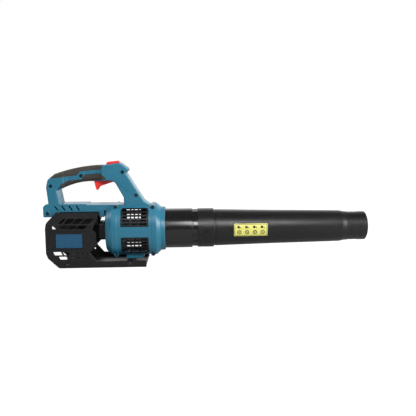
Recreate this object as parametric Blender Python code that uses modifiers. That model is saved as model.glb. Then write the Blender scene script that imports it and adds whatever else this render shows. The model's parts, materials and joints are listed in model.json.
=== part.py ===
"""Cordless leaf blower: clamshell body with a top handle, battery guard, axial fan and a long tapered nozzle.

Sizes are in millimetres and become metres as each shape is made. X runs from the handle's rear to the nozzle's tip,
Z is up and Y = 0 is the plane that parts the two halves of the body. The right side is -Y. The origin is on the
ground under the middle of the skid.
"""

import math

import bmesh
import bpy
from mathutils import Matrix

MM = 0.001
GAP = 0.3  # clearance between pieces that touch
WALL = 3.2  # body shells
SIDES = {"right": -1, "left": 1}

# Duct axis and the fan barrel of the body
AXIS_Z = 91.0
BARREL_REAR = 6.0
BARREL_HEIGHT = 69.0  # half its height
BARREL_WIDTH = 64.0  # half its width
BARREL_POWER = 2.4  # superellipse power of its section
SHOULDER_FRONT = 150.0
RING_FRONT = 161.0
RING_RADIUS = 58.0

# Handle frame
FRAME_DEPTH = 32.0  # half depth of the beam
POST_DEPTH = 31.3  # of the rear post
HEAD_DEPTH = 28.0
GRIP_DEPTH = 19.5
BEAM_BOTTOM = 141.0
BEAM_TOP = 162.0
REAR = -154.0
HEAD_TOP = 268.0
PAD = 1.6  # rubber grip pads

# Inlet windows
WINDOW_X = (47.0, 119.0)
WINDOW_Z = (13.5, 60.0)  # from the duct axis, above and below

# Guards, skid and battery shoe
GUARD_OUT = 62.0
GUARD_WALL = 3.3
RAIL_OUT = 63.6
RAIL_TOP = 16.0
SKID_END = 112.0
CROSSBARS_X = (-91.0, 69.0)
SHOE_X = (-111.5, -16.0)
SHOE_HALF = 28.5
SHOE_Z = (106.0, BEAM_BOTTOM - GAP)
STOP_X = (-12.0, BARREL_REAR - GAP)

# Fan and nozzle, by distance along X
DUCT_RADIUS = 53.0
DUCT_BORE = 49.6
DUCT_REAR = 98.0
DUCT_STEP = 233.0
NECK_RADIUS = 49.0
NECK_END = 287.0
COLLAR_START = 247.0
COLLAR_END = 290.0
COLLAR_RADIUS = 52.2
TUBE_WALL = 2.3
SHOULDER_START = 634.0
TIP_START = 656.0
TIP_END = 704.0
TIP_RADIUS = 38.8
FAN_X = (150.0, 176.0)
HUB_RADIUS = 21.0
BLADES = 9
VANES = 7
MOTOR_X = (181.0, 226.0)
MOTOR_RADIUS = 22.0

# Controls
TRIGGER_PIVOT = (24.0, 226.0)
TRIGGER_HALF = 7.2
TRIGGER_TOP = 231.0
BUTTON_HALF = 9.0
PLUNGER_X = 5.0
SWITCH_Z = (240.0, 251.0)
RELEASE_X = 273.0
RELEASE_ANGLE = math.radians(11.0)  # below the horizontal on the right side

# Screws: (x, z, outer face, depth of the head below it)
SCREW_HEAD = 4.3
SCREW_SHANK = 1.7
COUNTERBORE = 4.8
BOSS = 6.2
BODY_SCREWS = (
    (-132.0, 209.0, POST_DEPTH),
    (-56.0, 234.5, GRIP_DEPTH),
    (52.0, 244.0, HEAD_DEPTH),
    (86.0, 183.0, HEAD_DEPTH),
    (-143.0, 137.0, FRAME_DEPTH),
    (33.0, 154.0, 42.0),
    (129.0, 152.5, 42.0),
    (33.0, 29.5, 42.0),
    (129.0, 29.5, 42.0),
)


def collection(name):
    """A new collection under the scene's own."""
    made = bpy.data.collections.new(name)
    bpy.context.scene.collection.children.link(made)
    return made


for leftover in list(bpy.data.objects):
    bpy.data.objects.remove(leftover, do_unlink=True)

PARTS = collection("leaf_blower")
CUTTERS = collection("leaf_blower_cutters")


def finish(name, colour, roughness, metallic=0.0):
    """A Principled material, made once for each name."""
    found = bpy.data.materials.get(name)
    if found:
        return found
    made = bpy.data.materials.new(name)
    made.use_nodes = True
    shader = made.node_tree.nodes["Principled BSDF"]
    shader.inputs["Base Color"].default_value = (*colour, 1.0)
    shader.inputs["Roughness"].default_value = roughness
    shader.inputs["Metallic"].default_value = metallic
    return made


BLUE = finish("body_blue", (0.020, 0.160, 0.270), 0.42)
RUBBER = finish("grip_rubber", (0.045, 0.042, 0.038), 0.75)
RED = finish("control_red", (0.700, 0.030, 0.020), 0.40)
BLACK = finish("guard_black", (0.016, 0.016, 0.018), 0.50)
GLOSS = finish("duct_black", (0.012, 0.012, 0.013), 0.18)
SATIN = finish("nozzle_black", (0.020, 0.020, 0.021), 0.38)
BADGE = finish("badge_blue", (0.012, 0.085, 0.190), 0.35)
YELLOW = finish("label_yellow", (0.800, 0.560, 0.020), 0.45)
STEEL = finish("steel", (0.550, 0.550, 0.560), 0.30, 1.0)
ZINC = finish("screw_black", (0.050, 0.050, 0.052), 0.45, 1.0)
ALUMINIUM = finish("aluminium", (0.700, 0.700, 0.710), 0.35, 1.0)
COPPER = finish("terminal_brass", (0.700, 0.480, 0.200), 0.30, 1.0)
NYLON = finish("fan_nylon", (0.060, 0.060, 0.062), 0.50)
LAMINATION = finish("lamination", (0.280, 0.270, 0.260), 0.45, 1.0)
BOARD = finish("circuit_board", (0.020, 0.150, 0.060), 0.50)


# ---------------------------------------------------------------- outlines


def rounded(corners, segments=2):
    """Outline points from (u, v, radius) corners, each with a radius turned into an arc."""
    points = []
    count = len(corners)
    for i, (u, v, radius) in enumerate(corners):
        before = corners[i - 1]
        after = corners[(i + 1) % count]
        if radius <= 0.0:
            points.append((u, v))
            continue
        in_u, in_v = before[0] - u, before[1] - v
        out_u, out_v = after[0] - u, after[1] - v
        in_length = math.hypot(in_u, in_v)
        out_length = math.hypot(out_u, out_v)
        in_u, in_v = in_u / in_length, in_v / in_length
        out_u, out_v = out_u / out_length, out_v / out_length
        angle = math.acos(max(-1.0, min(1.0, in_u * out_u + in_v * out_v)))
        reach = min(radius / math.tan(angle / 2), 0.49 * in_length, 0.49 * out_length)
        radius = reach * math.tan(angle / 2)
        bisector_u, bisector_v = in_u + out_u, in_v + out_v
        length = math.hypot(bisector_u, bisector_v)
        away = radius / math.sin(angle / 2) / length
        centre_u, centre_v = u + bisector_u * away, v + bisector_v * away
        start = math.atan2(v + in_v * reach - centre_v, u + in_u * reach - centre_u)
        end = math.atan2(v + out_v * reach - centre_v, u + out_u * reach - centre_u)
        sweep = (end - start + math.pi) % (2 * math.pi) - math.pi
        steps = segments if radius > 3.0 else 1
        for step in range(steps + 1):
            turn = start + sweep * step / steps
            points.append((centre_u + radius * math.cos(turn), centre_v + radius * math.sin(turn)))
    return points


def area(points):
    """Signed area of a closed outline, positive when it runs anticlockwise."""
    total = 0.0
    for (u0, v0, *_), (u1, v1, *_) in zip(points, points[1:] + points[:1]):
        total += u0 * v1 - u1 * v0
    return total / 2


def inset(corners, distance):
    """The same (u, v, radius) corners moved inwards by a distance, outwards when it is negative."""
    if distance == 0.0:
        return list(corners)
    if area(corners) < 0:
        corners = corners[::-1]
    moved = []
    count = len(corners)
    for i, (u, v, radius) in enumerate(corners):
        pu, pv = corners[i - 1][:2]
        nu, nv = corners[(i + 1) % count][:2]
        a_length, b_length = math.hypot(u - pu, v - pv), math.hypot(nu - u, nv - v)
        a = ((u - pu) / a_length, (v - pv) / a_length)
        b = ((nu - u) / b_length, (nv - v) / b_length)
        turn = a[0] * b[1] - a[1] * b[0]
        normal = (-a[1] - b[1], a[0] + b[0])
        scale = distance / (1 + a[0] * b[0] + a[1] * b[1])
        if radius > 0.0:
            radius = max(radius - distance if turn > 0 else radius + distance, 0.4)
        moved.append((u + normal[0] * scale, v + normal[1] * scale, radius))
    return moved


def box_corners(low_u, low_v, high_u, high_v, radius=0.0):
    """Corners of a rectangle."""
    return [(low_u, low_v, radius), (high_u, low_v, radius), (high_u, high_v, radius), (low_u, high_v, radius)]


# ---------------------------------------------------------------- shapes

# How an outline's own u, v and thickness directions lie in the world
PLANES = {
    "XZ": Matrix(((1, 0, 0), (0, 0, -1), (0, 1, 0))).to_4x4(),
    "YZ": Matrix(((0, 0, 1), (1, 0, 0), (0, 1, 0))).to_4x4(),
    "XY": Matrix.Identity(4),
}


def place(name, data, material, at=(0.0, 0.0, 0.0), where=None):
    """An object for this mesh or curve. Its shape stays where it is and its origin moves to a point."""
    thing = bpy.data.objects.new(name, data)
    if any(at):
        data.transform(Matrix.Translation([-value * MM for value in at]))
        thing.location = [value * MM for value in at]
    if material:
        data.materials.append(material)
    (where or PARTS).objects.link(thing)
    if where is CUTTERS:
        thing.hide_render = True
        thing.display_type = "WIRE"
    return thing


def tidy(mesh):
    """Welds loose caps and turns every face outwards."""
    work = bmesh.new()
    work.from_mesh(mesh)
    bmesh.ops.remove_doubles(work, verts=work.verts, dist=1e-6)
    bmesh.ops.recalc_face_normals(work, faces=work.faces)
    work.to_mesh(mesh)
    work.free()
    return mesh


def curve_mesh(curve):
    """The welded mesh of a curve, which is then removed."""
    holder = bpy.data.objects.new(curve.name, curve)
    PARTS.objects.link(holder)
    bpy.context.view_layer.update()
    graph = bpy.context.evaluated_depsgraph_get()
    mesh = bpy.data.meshes.new_from_object(holder.evaluated_get(graph))
    bpy.data.objects.remove(holder)
    bpy.data.curves.remove(curve)
    return tidy(mesh)


def slab(name, outlines, low, high, plane="XZ"):
    """Mesh of a flat outline and its holes, as thick as from low to high across its plane."""
    curve = bpy.data.curves.new(name, "CURVE")
    curve.dimensions = "2D"
    curve.fill_mode = "BOTH"
    curve.extrude = (high - low) / 2 * MM
    for points in outlines:
        spline = curve.splines.new("POLY")
        spline.points.add(len(points) - 1)
        for spot, (u, v) in zip(spline.points, points):
            spot.co = (u * MM, v * MM, 0.0, 1.0)
        spline.use_cyclic_u = True
    mesh = curve_mesh(curve)
    middle = (low + high) / 2 * (-MM if plane == "XZ" else MM)
    mesh.transform(PLANES[plane] @ Matrix.Translation((0.0, 0.0, middle)))
    return mesh


def soften(mesh, width, reach, axis=1):
    """Bevels the edges that lie on both faces at a distance (in mm) along an axis from the middle plane."""
    work = bmesh.new()
    work.from_mesh(mesh)
    edges = []
    for edge in work.edges:
        ends = [abs(vert.co[axis]) for vert in edge.verts]
        flat = abs(ends[0] - reach * MM) < 1e-6 and abs(ends[1] - reach * MM) < 1e-6
        if flat and edge.calc_face_angle(0.0) > 0.5:
            edges.append(edge)
    bmesh.ops.bevel(work, geom=edges, offset=width * MM, segments=1, profile=0.5, affect="EDGES")
    work.to_mesh(mesh)
    work.free()
    return mesh


def block(name, low, high):
    """Mesh of a box between two corners."""
    mesh = bpy.data.meshes.new(name)
    work = bmesh.new()
    bmesh.ops.create_cube(work, size=1.0)
    size = [(b - a) * MM for a, b in zip(low, high)]
    middle = [(a + b) / 2 * MM for a, b in zip(low, high)]
    bmesh.ops.scale(work, vec=size, verts=work.verts)
    bmesh.ops.translate(work, vec=middle, verts=work.verts)
    work.to_mesh(mesh)
    work.free()
    return mesh


def rods(name, spots, radius, low, high, axis="Y", sides=20):
    """Mesh of one or more cylinders through (u, v) spots, from low to high along an axis."""
    mesh = bpy.data.meshes.new(name)
    work = bmesh.new()
    turn = {
        "X": Matrix.Rotation(math.pi / 2, 4, "Y"),
        "Y": Matrix.Rotation(math.pi / 2, 4, "X"),
        "Z": Matrix.Identity(4),
    }[axis]
    along = (low + high) / 2
    for u, v in spots:
        middle = {"X": (along, u, v), "Y": (u, along, v), "Z": (u, v, along)}[axis]
        bmesh.ops.create_cone(
            work,
            cap_ends=True,
            segments=sides,
            radius1=radius * MM,
            radius2=radius * MM,
            depth=(high - low) * MM,
            matrix=Matrix.Translation([value * MM for value in middle]) @ turn,
        )
    work.to_mesh(mesh)
    work.free()
    return mesh


def superellipse(x, half_y, half_z, power, centre_z, count):
    """Points of one section across X, as (x, y, z)."""
    points = []
    for i in range(count):
        angle = 2 * math.pi * i / count
        cosine, sine = math.cos(angle), math.sin(angle)
        y = half_y * math.copysign(abs(cosine) ** (2 / power), cosine)
        z = centre_z + half_z * math.copysign(abs(sine) ** (2 / power), sine)
        points.append((x, y, z))
    return points


def loft(name, sections):
    """Closed mesh through rings with the same number of points, flat at both ends."""
    mesh = bpy.data.meshes.new(name)
    work = bmesh.new()
    rings = [[work.verts.new([value * MM for value in spot]) for spot in ring] for ring in sections]
    for ring, following in zip(rings, rings[1:]):
        for i in range(len(ring)):
            j = (i + 1) % len(ring)
            work.faces.new((ring[i], ring[j], following[j], following[i]))
    work.faces.new(rings[0])
    work.faces.new(rings[-1])
    work.to_mesh(mesh)
    work.free()
    return tidy(mesh)


def turned(name, profile, material, steps=48, where=None, closed=True):
    """An (x, radius) profile turned about the duct axis by a Screw modifier. A closed one makes a tube."""
    if area(profile) < 0:
        profile = profile[::-1]
    mesh = bpy.data.meshes.new(name)
    work = bmesh.new()
    verts = [work.verts.new((radius * MM, 0.0, x * MM)) for x, radius in profile]
    for a, b in zip(verts, verts[1:]):
        work.edges.new((a, b))
    if closed:
        work.edges.new((verts[-1], verts[0]))
    work.to_mesh(mesh)
    work.free()
    thing = place(name, mesh, material, where=where)
    thing.location.z = AXIS_Z * MM
    thing.rotation_euler = (0.0, math.pi / 2, 0.0)
    screw = thing.modifiers.new("turn", "SCREW")
    screw.steps = steps
    screw.render_steps = steps
    screw.use_merge_vertices = True
    screw.merge_threshold = 0.0001
    return thing


def coil(name, material, at, radius, wire, length, turns):
    """A compression spring standing on a point, along Z."""
    curve = bpy.data.curves.new(name, "CURVE")
    curve.dimensions = "3D"
    curve.bevel_depth = wire * MM
    curve.bevel_resolution = 0
    curve.use_fill_caps = True
    count = turns * 8 + 1
    spline = curve.splines.new("POLY")
    spline.points.add(count - 1)
    for i, spot in enumerate(spline.points):
        angle = 2 * math.pi * i / 8
        rise = wire + (length - 2 * wire) * i / (count - 1)
        spot.co = (radius * math.cos(angle) * MM, radius * math.sin(angle) * MM, rise * MM, 1.0)
    mesh = curve_mesh(curve)
    thing = place(name, mesh, material)
    thing.location = [value * MM for value in at]
    return thing


def boolean(thing, tool, operation="DIFFERENCE", solver="EXACT"):
    """Cuts a tool from a thing, or joins or intersects them, with a live modifier."""
    modifier = thing.modifiers.new(operation.lower() + "_" + tool.name, "BOOLEAN")
    modifier.operation = operation
    modifier.object = tool
    modifier.solver = solver
    return thing


def merge_flat(thing):
    """Joins the flat faces that Booleans have left in pieces."""
    modifier = thing.modifiers.new("merge_flat", "DECIMATE")
    modifier.decimate_type = "DISSOLVE"
    modifier.angle_limit = math.radians(0.1)
    return thing


def cutter(name, mesh):
    """A tool for Booleans."""
    return place(name, mesh, None, where=CUTTERS)


# ---------------------------------------------------------------- body form

POST = [
    (-139.5, 155.0, 0),
    (-144.5, 206.0, 12),
    (-140.0, 226.0, 14),
    (-122.0, 239.5, 10),
    (-98.0, 244.0, 0),
    (-98.0, 206.0, 0),
    (-112.0, 205.0, 6),
    (-117.5, 199.0, 6),
    (-109.5, 155.0, 0),
]
HEAD = [
    (-3.0, 261.0, 0),
    (5.0, 262.5, 0),
    (45.0, HEAD_TOP, 6),
    (66.0, 252.5, 4.5),
    (65.0, 245.5, 4.5),
    (59.5, 242.0, 3),
    (105.0, 168.0, 6),
    (119.0, 158.0, 0),
    (119.0, 148.0, 0),
    (54.5, 148.0, 0),
    (53.5, 178.0, 10),
    (33.0, 215.5, 5),
    (24.0, 221.5, 5),
    (-3.0, 222.0, 0),
]
BEAM = [
    (REAR, 128.0, 3),
    (REAR, 155.0, 5),
    (-147.0, BEAM_TOP, 4),
    (-43.0, BEAM_TOP, 2),
    (-40.0, 159.5, 2),
    (46.0, 159.5, 0),
    (46.0, 144.0, 0),
    (3.0, 144.0, 0),
    (3.0, 127.0, 1.5),
    (-10.0, 127.0, 1.5),
    (-10.0, BEAM_BOTTOM, 0),
    (-113.0, BEAM_BOTTOM, 2),
    (-135.0, 128.0, 2),
]
FOOT = [(57.0, 15.4, 2), (103.0, 15.4, 2), (103.0, 40.0, 0), (57.0, 40.0, 0)]


def grip_top(x):
    """Height of the handle's upper line."""
    return 262.3 - 0.00139 * (x - 2.0) ** 2


def grip_bottom(x):
    """Height of the handle's lower line."""
    return 219.5 - 0.0031 * max(0.0, -30.0 - x) ** 2


def grip_half(x):
    """Half depth of the handle, which widens into the rear post and into the head."""
    rear = max(0.0, min(1.0, (-88.0 - x) / 38.0))
    front = max(0.0, min(1.0, (x + 22.0) / 34.0))
    ease = [t * t * (3 - 2 * t) for t in (rear, front)]
    return GRIP_DEPTH + (FRAME_DEPTH - 3.0 - GRIP_DEPTH) * ease[0] + (HEAD_DEPTH - 2.0 - GRIP_DEPTH) * ease[1]


def grip_mesh(name, shrink):
    """The handle bar as a loft, smaller all round by a distance."""
    sections = []
    count = 16 if shrink < WALL else 8
    for x in (-126, -112, -96, -74, -48, -22, -8, 13):
        top, bottom = grip_top(x), grip_bottom(x)
        half_z = (top - bottom) / 2 - shrink
        sections.append(superellipse(x, grip_half(x) - shrink, half_z, 3.2, (top + bottom) / 2, count))
    return loft(name, sections)


def barrel_mesh(name, shrink, front):
    """The fan barrel as a loft, smaller all round by a distance, up to a place along X."""
    stations = (
        (BARREL_REAR, 46.0, 41.0, 2.6),
        (BARREL_REAR + 2.5, 56.0, 50.0, 2.5),
        (BARREL_REAR + 11.0, 63.0, 57.0, 2.4),
        (BARREL_REAR + 12.5, 66.5, 60.5, 2.4),
        (BARREL_REAR + 20.0, BARREL_HEIGHT, BARREL_WIDTH, BARREL_POWER),
        (SHOULDER_FRONT - 14.0, BARREL_HEIGHT, BARREL_WIDTH, BARREL_POWER),
        (SHOULDER_FRONT - 9.0, 66.0, 62.0, 2.3),
        (SHOULDER_FRONT, RING_RADIUS + 0.6, RING_RADIUS + 0.6, 2.0),
        (front, RING_RADIUS, RING_RADIUS, 2.0),
    )
    sections = []
    count = 32
    if shrink == WALL:
        count = 16
        stations = (stations[0], stations[2], *stations[4:])
    for x, height, width, power in stations:
        ahead = shrink if x == BARREL_REAR else shrink * max(0.0, 1 - (x - BARREL_REAR) / 8.0)
        sections.append(superellipse(x + ahead, width - shrink, height - shrink, power, AXIS_Z, count))
    return loft(name, sections)


def frame_slab(name, corners, half, shrink, edge):
    """One flat part of the handle frame, with softened side edges, smaller all round by a distance."""
    half -= shrink
    mesh = slab(name, [rounded(inset(corners, shrink))], -half, half)
    return soften(mesh, edge - shrink, half) if edge - shrink > 1.0 else mesh


FORMS = (("post", POST, POST_DEPTH, 4.0), ("head", HEAD, HEAD_DEPTH, 3.5))


def handle_tools(shrink):
    """The post, the head and the bar between them, smaller all round by a distance."""
    tag = "_%03d" % round(10 * shrink)
    tools = [cutter(key + tag, frame_slab(key + tag, corners, half, shrink, edge))
             for key, corners, half, edge in FORMS]
    tools.append(cutter("grip" + tag, grip_mesh("grip" + tag, shrink)))
    return tools


def body_tools(shrink, front):
    """The solids that together make the body's form, smaller all round by a distance."""
    tag = "_%03d" % round(10 * shrink)
    tools = handle_tools(shrink)
    tools.append(cutter("beam" + tag, frame_slab("beam" + tag, BEAM, FRAME_DEPTH, shrink, 1.6)))
    tools.append(cutter("barrel" + tag, barrel_mesh("barrel" + tag, shrink, front)))
    return tools


OUTER = body_tools(0.0, RING_FRONT)
HOLLOW = body_tools(WALL, RING_FRONT - WALL)
PAD_BACK = handle_tools(PAD)
UNDER_PAD = handle_tools(PAD + GAP)

UPPER_PAD = [
    (-130.0, 229.5, 0), (-133.0, 262.0, 0), (3.0, 275.0, 0), (1.0, 262.0, 0), (-5.0, 251.0, 3),
    (-58.0, 246.5, 3), (-67.0, 236.0, 3), (-110.0, 231.5, 4),
]
LOWER_PAD = [
    (12.0, 226.0, 2), (-6.0, 240.5, 3), (-46.0, 237.5, 3), (-55.0, 225.0, 3), (-90.0, 222.0, 4),
    (-107.0, 212.0, 2), (-104.0, 196.0, 0), (-27.5, 205.0, 0), (-27.5, 221.0, 0), (-15.0, 223.5, 3),
]


def other_half(sign):
    """Mesh of everything that lies on the far side of the parting plane from one half."""
    near, far = sorted((sign * GAP / 2, -sign * 90.0))
    return block("other_half", (-200.0, near, -20.0), (800.0, far, 320.0))


def body_shell(side):
    """One half of the clamshell body: form, hollow, bosses and every opening."""
    shell = place("housing_" + side, frame_slab("shell_" + side, BEAM, FRAME_DEPTH, 0.0, 1.6), BLUE)
    other = cutter("other_half_" + side, other_half(SIDES[side]))
    openings = (WINDOWS, TRIGGER_SLOT, BUTTON_SLOT, PAD_RECESS, LEAD_HOLE)
    steps = (
        ("DIFFERENCE", (BEAM_SLOTS,)),
        ("UNION", (*OUTER[:3], OUTER[4], FOOT_FORM)),
        ("DIFFERENCE", (other, *HOLLOW, BORE)),
        ("UNION", (INNER_RIBS[side], *BOSSES[side])),
        ("DIFFERENCE", (*openings, *SCREW_HOLES[side])),
    )
    for operation, tools in steps:
        for tool in tools:
            boolean(shell, tool, operation, "MANIFOLD")
    return merge_flat(shell)


# ---------------------------------------------------------------- tools for the body

FOOT_FORM = cutter("foot_form", slab("foot_form", [rounded(FOOT)], -24.0, 24.0))
boolean(FOOT_FORM, HOLLOW[-1])
BORE = cutter("bore", rods("bore", [(0.0, AXIS_Z)], DUCT_RADIUS + GAP, 145.0, 175.0, "X", 36))


def inner_rib(side):
    """Half ring inside the barrel that stops the duct's flange from behind."""
    bore = DUCT_RADIUS + GAP
    profile = [(141.5, bore), (144.5, bore), (144.5, 61.5), (141.5, 63.0)]
    rib = turned("inner_rib_" + side, profile, None, 32, CUTTERS)
    return boolean(rib, cutter("rib_half_" + side, other_half(SIDES[side])))


INNER_RIBS = {side_name: inner_rib(side_name) for side_name in SIDES}


def window_tool():
    """The four inlet windows, two on each side."""
    low, high = WINDOW_Z
    upper = [(WINDOW_X[0], AXIS_Z + low, 2), (WINDOW_X[1], AXIS_Z + low, 2), (WINDOW_X[1], AXIS_Z + high - 5, 1),
             (WINDOW_X[1] - 5, AXIS_Z + high, 1), (WINDOW_X[0] + 5, AXIS_Z + high, 1),
             (WINDOW_X[0], AXIS_Z + high - 5, 1)]
    lower = [(x, 2 * AXIS_Z - z, radius) for x, z, radius in upper]
    tool = cutter("windows", slab("windows", [rounded(upper), rounded(lower)], -80.0, 80.0))
    return tool


WINDOWS = window_tool()
TRIGGER_SLOT = cutter("trigger_slot", block("trigger_slot", (-27.0, -8.0, 205.0), (31.5, 8.0, 226.0)))
BUTTON_SLOT = cutter("button_slot", block("button_slot", (6.9, -9.5, 255.0), (43.6, 9.5, 280.0)))
LEAD_HOLE = cutter("lead_hole", block("lead_hole", (-42.0, -6.0, 130.0), (-30.0, 6.0, 150.0)))


def beam_slots():
    """Four slanted slots through each side of the beam."""
    outlines = []
    for i in range(4):
        x = -126.0 + 18.4 * i
        outlines.append([(x, 158.0), (x + 4.2, 158.0), (x + 12.2, 145.5), (x + 8.0, 145.5)])
    return cutter("beam_slots", slab("beam_slots", outlines, -60.0, 60.0))


BEAM_SLOTS = beam_slots()


def pad_recess():
    """What the grip pads take out of the handle's surface."""
    outlines = [rounded(inset(UPPER_PAD, -GAP)), rounded(inset(LOWER_PAD, -GAP))]
    tool = cutter("pad_recess", slab("pad_recess", outlines, -60.0, 60.0))
    for under in UNDER_PAD:
        boolean(tool, under, solver="MANIFOLD")
    return tool


PAD_RECESS = pad_recess()


def screw_tools(side):
    """Bosses and holes for the screws that draw the two halves together."""
    sign = SIDES[side]
    bosses, holes = [], []
    for i, (x, z, face) in enumerate(BODY_SCREWS):
        name = "%s_%d_%s" % ("boss", i, side)
        seat = sign * (face - 7.0)
        ends = sorted((sign * (GAP / 2 + 0.1), sign * (face - 2.0)))
        bosses.append(cutter(name, rods(name, [(x, z)], BOSS, *ends, sides=12)))
        if side == "right":
            bore, well = "bore_%d" % i, "well_%d" % i
            holes.append(cutter(bore, rods(bore, [(x, z)], SCREW_SHANK + GAP, seat - 1.0, 1.0, sides=8)))
            holes.append(cutter(well, rods(well, [(x, z)], COUNTERBORE, -face - 30.0, seat, sides=12)))
        else:
            bore = "thread_%d" % i
            holes.append(cutter(bore, rods(bore, [(x, z)], SCREW_SHANK + GAP, -1.0, 14.0, sides=8)))
    return bosses, holes


def inner_supports(side):
    """Seats inside one half for the trigger's pin, the switch and the control board, and the pin's hole."""
    sign = SIDES[side]
    name = "seat_%s_" + side
    ends = sorted((sign * 8.5, sign * (HEAD_DEPTH - 1.0)))
    pin = cutter(name % "pin", rods(name % "pin", [TRIGGER_PIVOT], 4.2, *ends, sides=12))
    rest = cutter(name % "switch", block(name % "switch", (28.0, ends[0], 239.0), (36.0, ends[1], 250.0)))
    ends = sorted((sign * 20.0, sign * 27.0))
    posts = []
    for i, z in enumerate((66.0, 112.0)):
        tag = name % ("board_%d" % i)
        posts.append(cutter(tag, block(tag, (7.5, ends[0], z), (17.5, ends[1], z + 5.0))))
    ends = sorted((sign * 4.0, sign * 22.3))
    hole = cutter(name % "pin_hole", rods(name % "pin_hole", [TRIGGER_PIVOT], 2.3, *ends, sides=12))
    return (pin, rest, *posts), hole


BOSSES, SCREW_HOLES = {}, {}
for side_name in SIDES:
    side_bosses, side_holes = screw_tools(side_name)
    supports, pin_hole = inner_supports(side_name)
    BOSSES[side_name] = (*side_bosses, *supports)
    SCREW_HOLES[side_name] = (*side_holes, pin_hole)

for side_name in SIDES:
    body_shell(side_name)


def screw(name, x, z, face_y, length, sign=-1):
    """A pan-head screw with its head towards -Y, or towards +Y when sign is positive."""
    profile = [(0.0, 0.0), (SCREW_HEAD, 0.0), (SCREW_HEAD, 1.4), (SCREW_HEAD - 0.8, 2.4), (0.0, 2.4)]
    shank = [(0.0, -length), (SCREW_SHANK - 0.8, -length), (SCREW_SHANK, -length + 2.0), (SCREW_SHANK, 0.0)]
    points = (shank + profile[1:])[::-1]
    mesh = bpy.data.meshes.new(name)
    work = bmesh.new()
    verts = [work.verts.new((radius * MM, 0.0, height * MM)) for radius, height in points]
    for a, b in zip(verts, verts[1:]):
        work.edges.new((a, b))
    work.to_mesh(mesh)
    work.free()
    thing = place(name, mesh, ZINC)
    thing.location = (x * MM, face_y * MM, z * MM)
    thing.rotation_euler = (math.pi / 2 if sign < 0 else -math.pi / 2, 0.0, 0.0)
    turn = thing.modifiers.new("turn", "SCREW")
    turn.steps = 8
    turn.render_steps = 8
    turn.use_merge_vertices = True
    turn.merge_threshold = 0.0001
    return thing


for index, (screw_x, screw_z, screw_face) in enumerate(BODY_SCREWS):
    head_y = -(screw_face - 7.0) - GAP
    screw("body_screw_%d" % (index + 1), screw_x, screw_z, head_y, -head_y + 11.0)


# ---------------------------------------------------------------- grip pads


def grip_pad(name, corners, side):
    """Rubber skin of the handle on one half, open where the trigger swings."""
    ends = sorted((SIDES[side] * GAP / 2, SIDES[side] * 60.0))
    area_name = name + "_area_" + side
    keep = cutter(area_name, slab(area_name, [rounded(corners)], *ends))
    pad = place(name + "_" + side, frame_slab(name + side, POST, POST_DEPTH, 0.0, 4.0), RUBBER)
    for operation, tools in (("UNION", OUTER[1:3]), ("INTERSECT", (keep,)), ("DIFFERENCE", (*PAD_BACK, TRIGGER_SLOT))):
        for tool in tools:
            boolean(pad, tool, operation, "MANIFOLD")
    return merge_flat(pad)


for side_name in SIDES:
    grip_pad("upper_grip", UPPER_PAD, side_name)
    grip_pad("lower_grip", LOWER_PAD, side_name)


# ---------------------------------------------------------------- controls


def trigger():
    """Trigger with its pivot bore, hung from a pin at its front end."""
    x, z = TRIGGER_PIVOT
    outline = [
        (-24.0, 231.0, 1.5), (-24.5, 217.0, 4), (-19.5, 196.5, 1.2), (-15.5, 196.0, 1.2), (-10.0, 205.5, 6),
        (9.0, 212.0, 8), (28.0, 218.0, 2), (29.5, 226.0, 4), (26.0, 231.0, 3),
    ]
    mesh = slab("trigger", [rounded(outline)], -TRIGGER_HALF, TRIGGER_HALF)
    part = place("trigger", soften(mesh, 1.2, TRIGGER_HALF), RED, (x, 0.0, z))
    return boolean(part, cutter("trigger_bore", rods("trigger_bore", [(x, z)], 2.3, -20.0, 20.0, sides=12)))


def trigger_pin():
    """Fixed pin that the trigger turns on, held between the two halves."""
    x, z = TRIGGER_PIVOT
    return place("trigger_pin", rods("trigger_pin", [(x, z)], 2.0, -22.0, 22.0, sides=12), STEEL, (x, 0.0, z))


def switch():
    """Speed switch above the trigger, with the plunger that the trigger pushes."""
    low, high = SWITCH_Z
    body = place("switch_body", block("switch_body", (-2.0, -8.0, low), (40.0, 8.0, high)), BLACK)
    boolean(body, cutter("switch_bore", rods("switch_bore", [(PLUNGER_X, 0.0)], 2.8, 220.0, 249.6, "Z", 16)))
    mesh = rods("switch_plunger", [(PLUNGER_X, 0.0)], 2.4, TRIGGER_TOP + GAP, 244.2, "Z", 16)
    place("switch_plunger", mesh, NYLON, (PLUNGER_X, 0.0, 240.0))


def top_button():
    """Boost button in the head, which moves straight down."""
    outline = [
        (7.7, 257.5, 0.8), (42.8, 257.5, 0.8), (42.8, 270.5, 1.5), (41.0, 273.0, 1.5), (12.0, 270.0, 3.0),
        (7.7, 264.5, 1.5),
    ]
    mesh = slab("top_button", [rounded(outline)], -BUTTON_HALF, BUTTON_HALF)
    return place("top_button", soften(mesh, 1.0, BUTTON_HALF), RED, (25.0, 0.0, 258.0))


trigger()
trigger_pin()
switch()
top_button()
coil("trigger_spring", STEEL, (-14.0, 0.0, TRIGGER_TOP + GAP), 3.6, 0.5, 24.0, 5)
coil("button_spring", STEEL, (25.0, 0.0, SWITCH_Z[1] + GAP), 3.6, 0.5, 5.9, 3)


# ---------------------------------------------------------------- guards and skid

GUARD = [
    (-112.0, 150.0, 0), (-130.0, 129.0, 6), (-140.0, 118.0, 8), (-143.0, 104.0, 8), (-143.0, 38.0, 8),
    (-138.0, 25.0, 8), (-117.0, 6.0, 6), (-110.0, 0.0, 4), (SKID_END, 0.0, 1), (SKID_END, RAIL_TOP, 1),
    (-14.0, RAIL_TOP, 2), (-33.0, 38.5, 2), (-27.0, 45.0, 2), (-15.5, 56.0, 2), (-15.5, 90.0, 2),
    (-24.5, 99.0, 2), (-13.0, 127.0, 2), (-13.0, 150.0, 0),
]
RIB_SLOPE = 0.95  # how far a rib leans, along X for each mm of height


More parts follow.
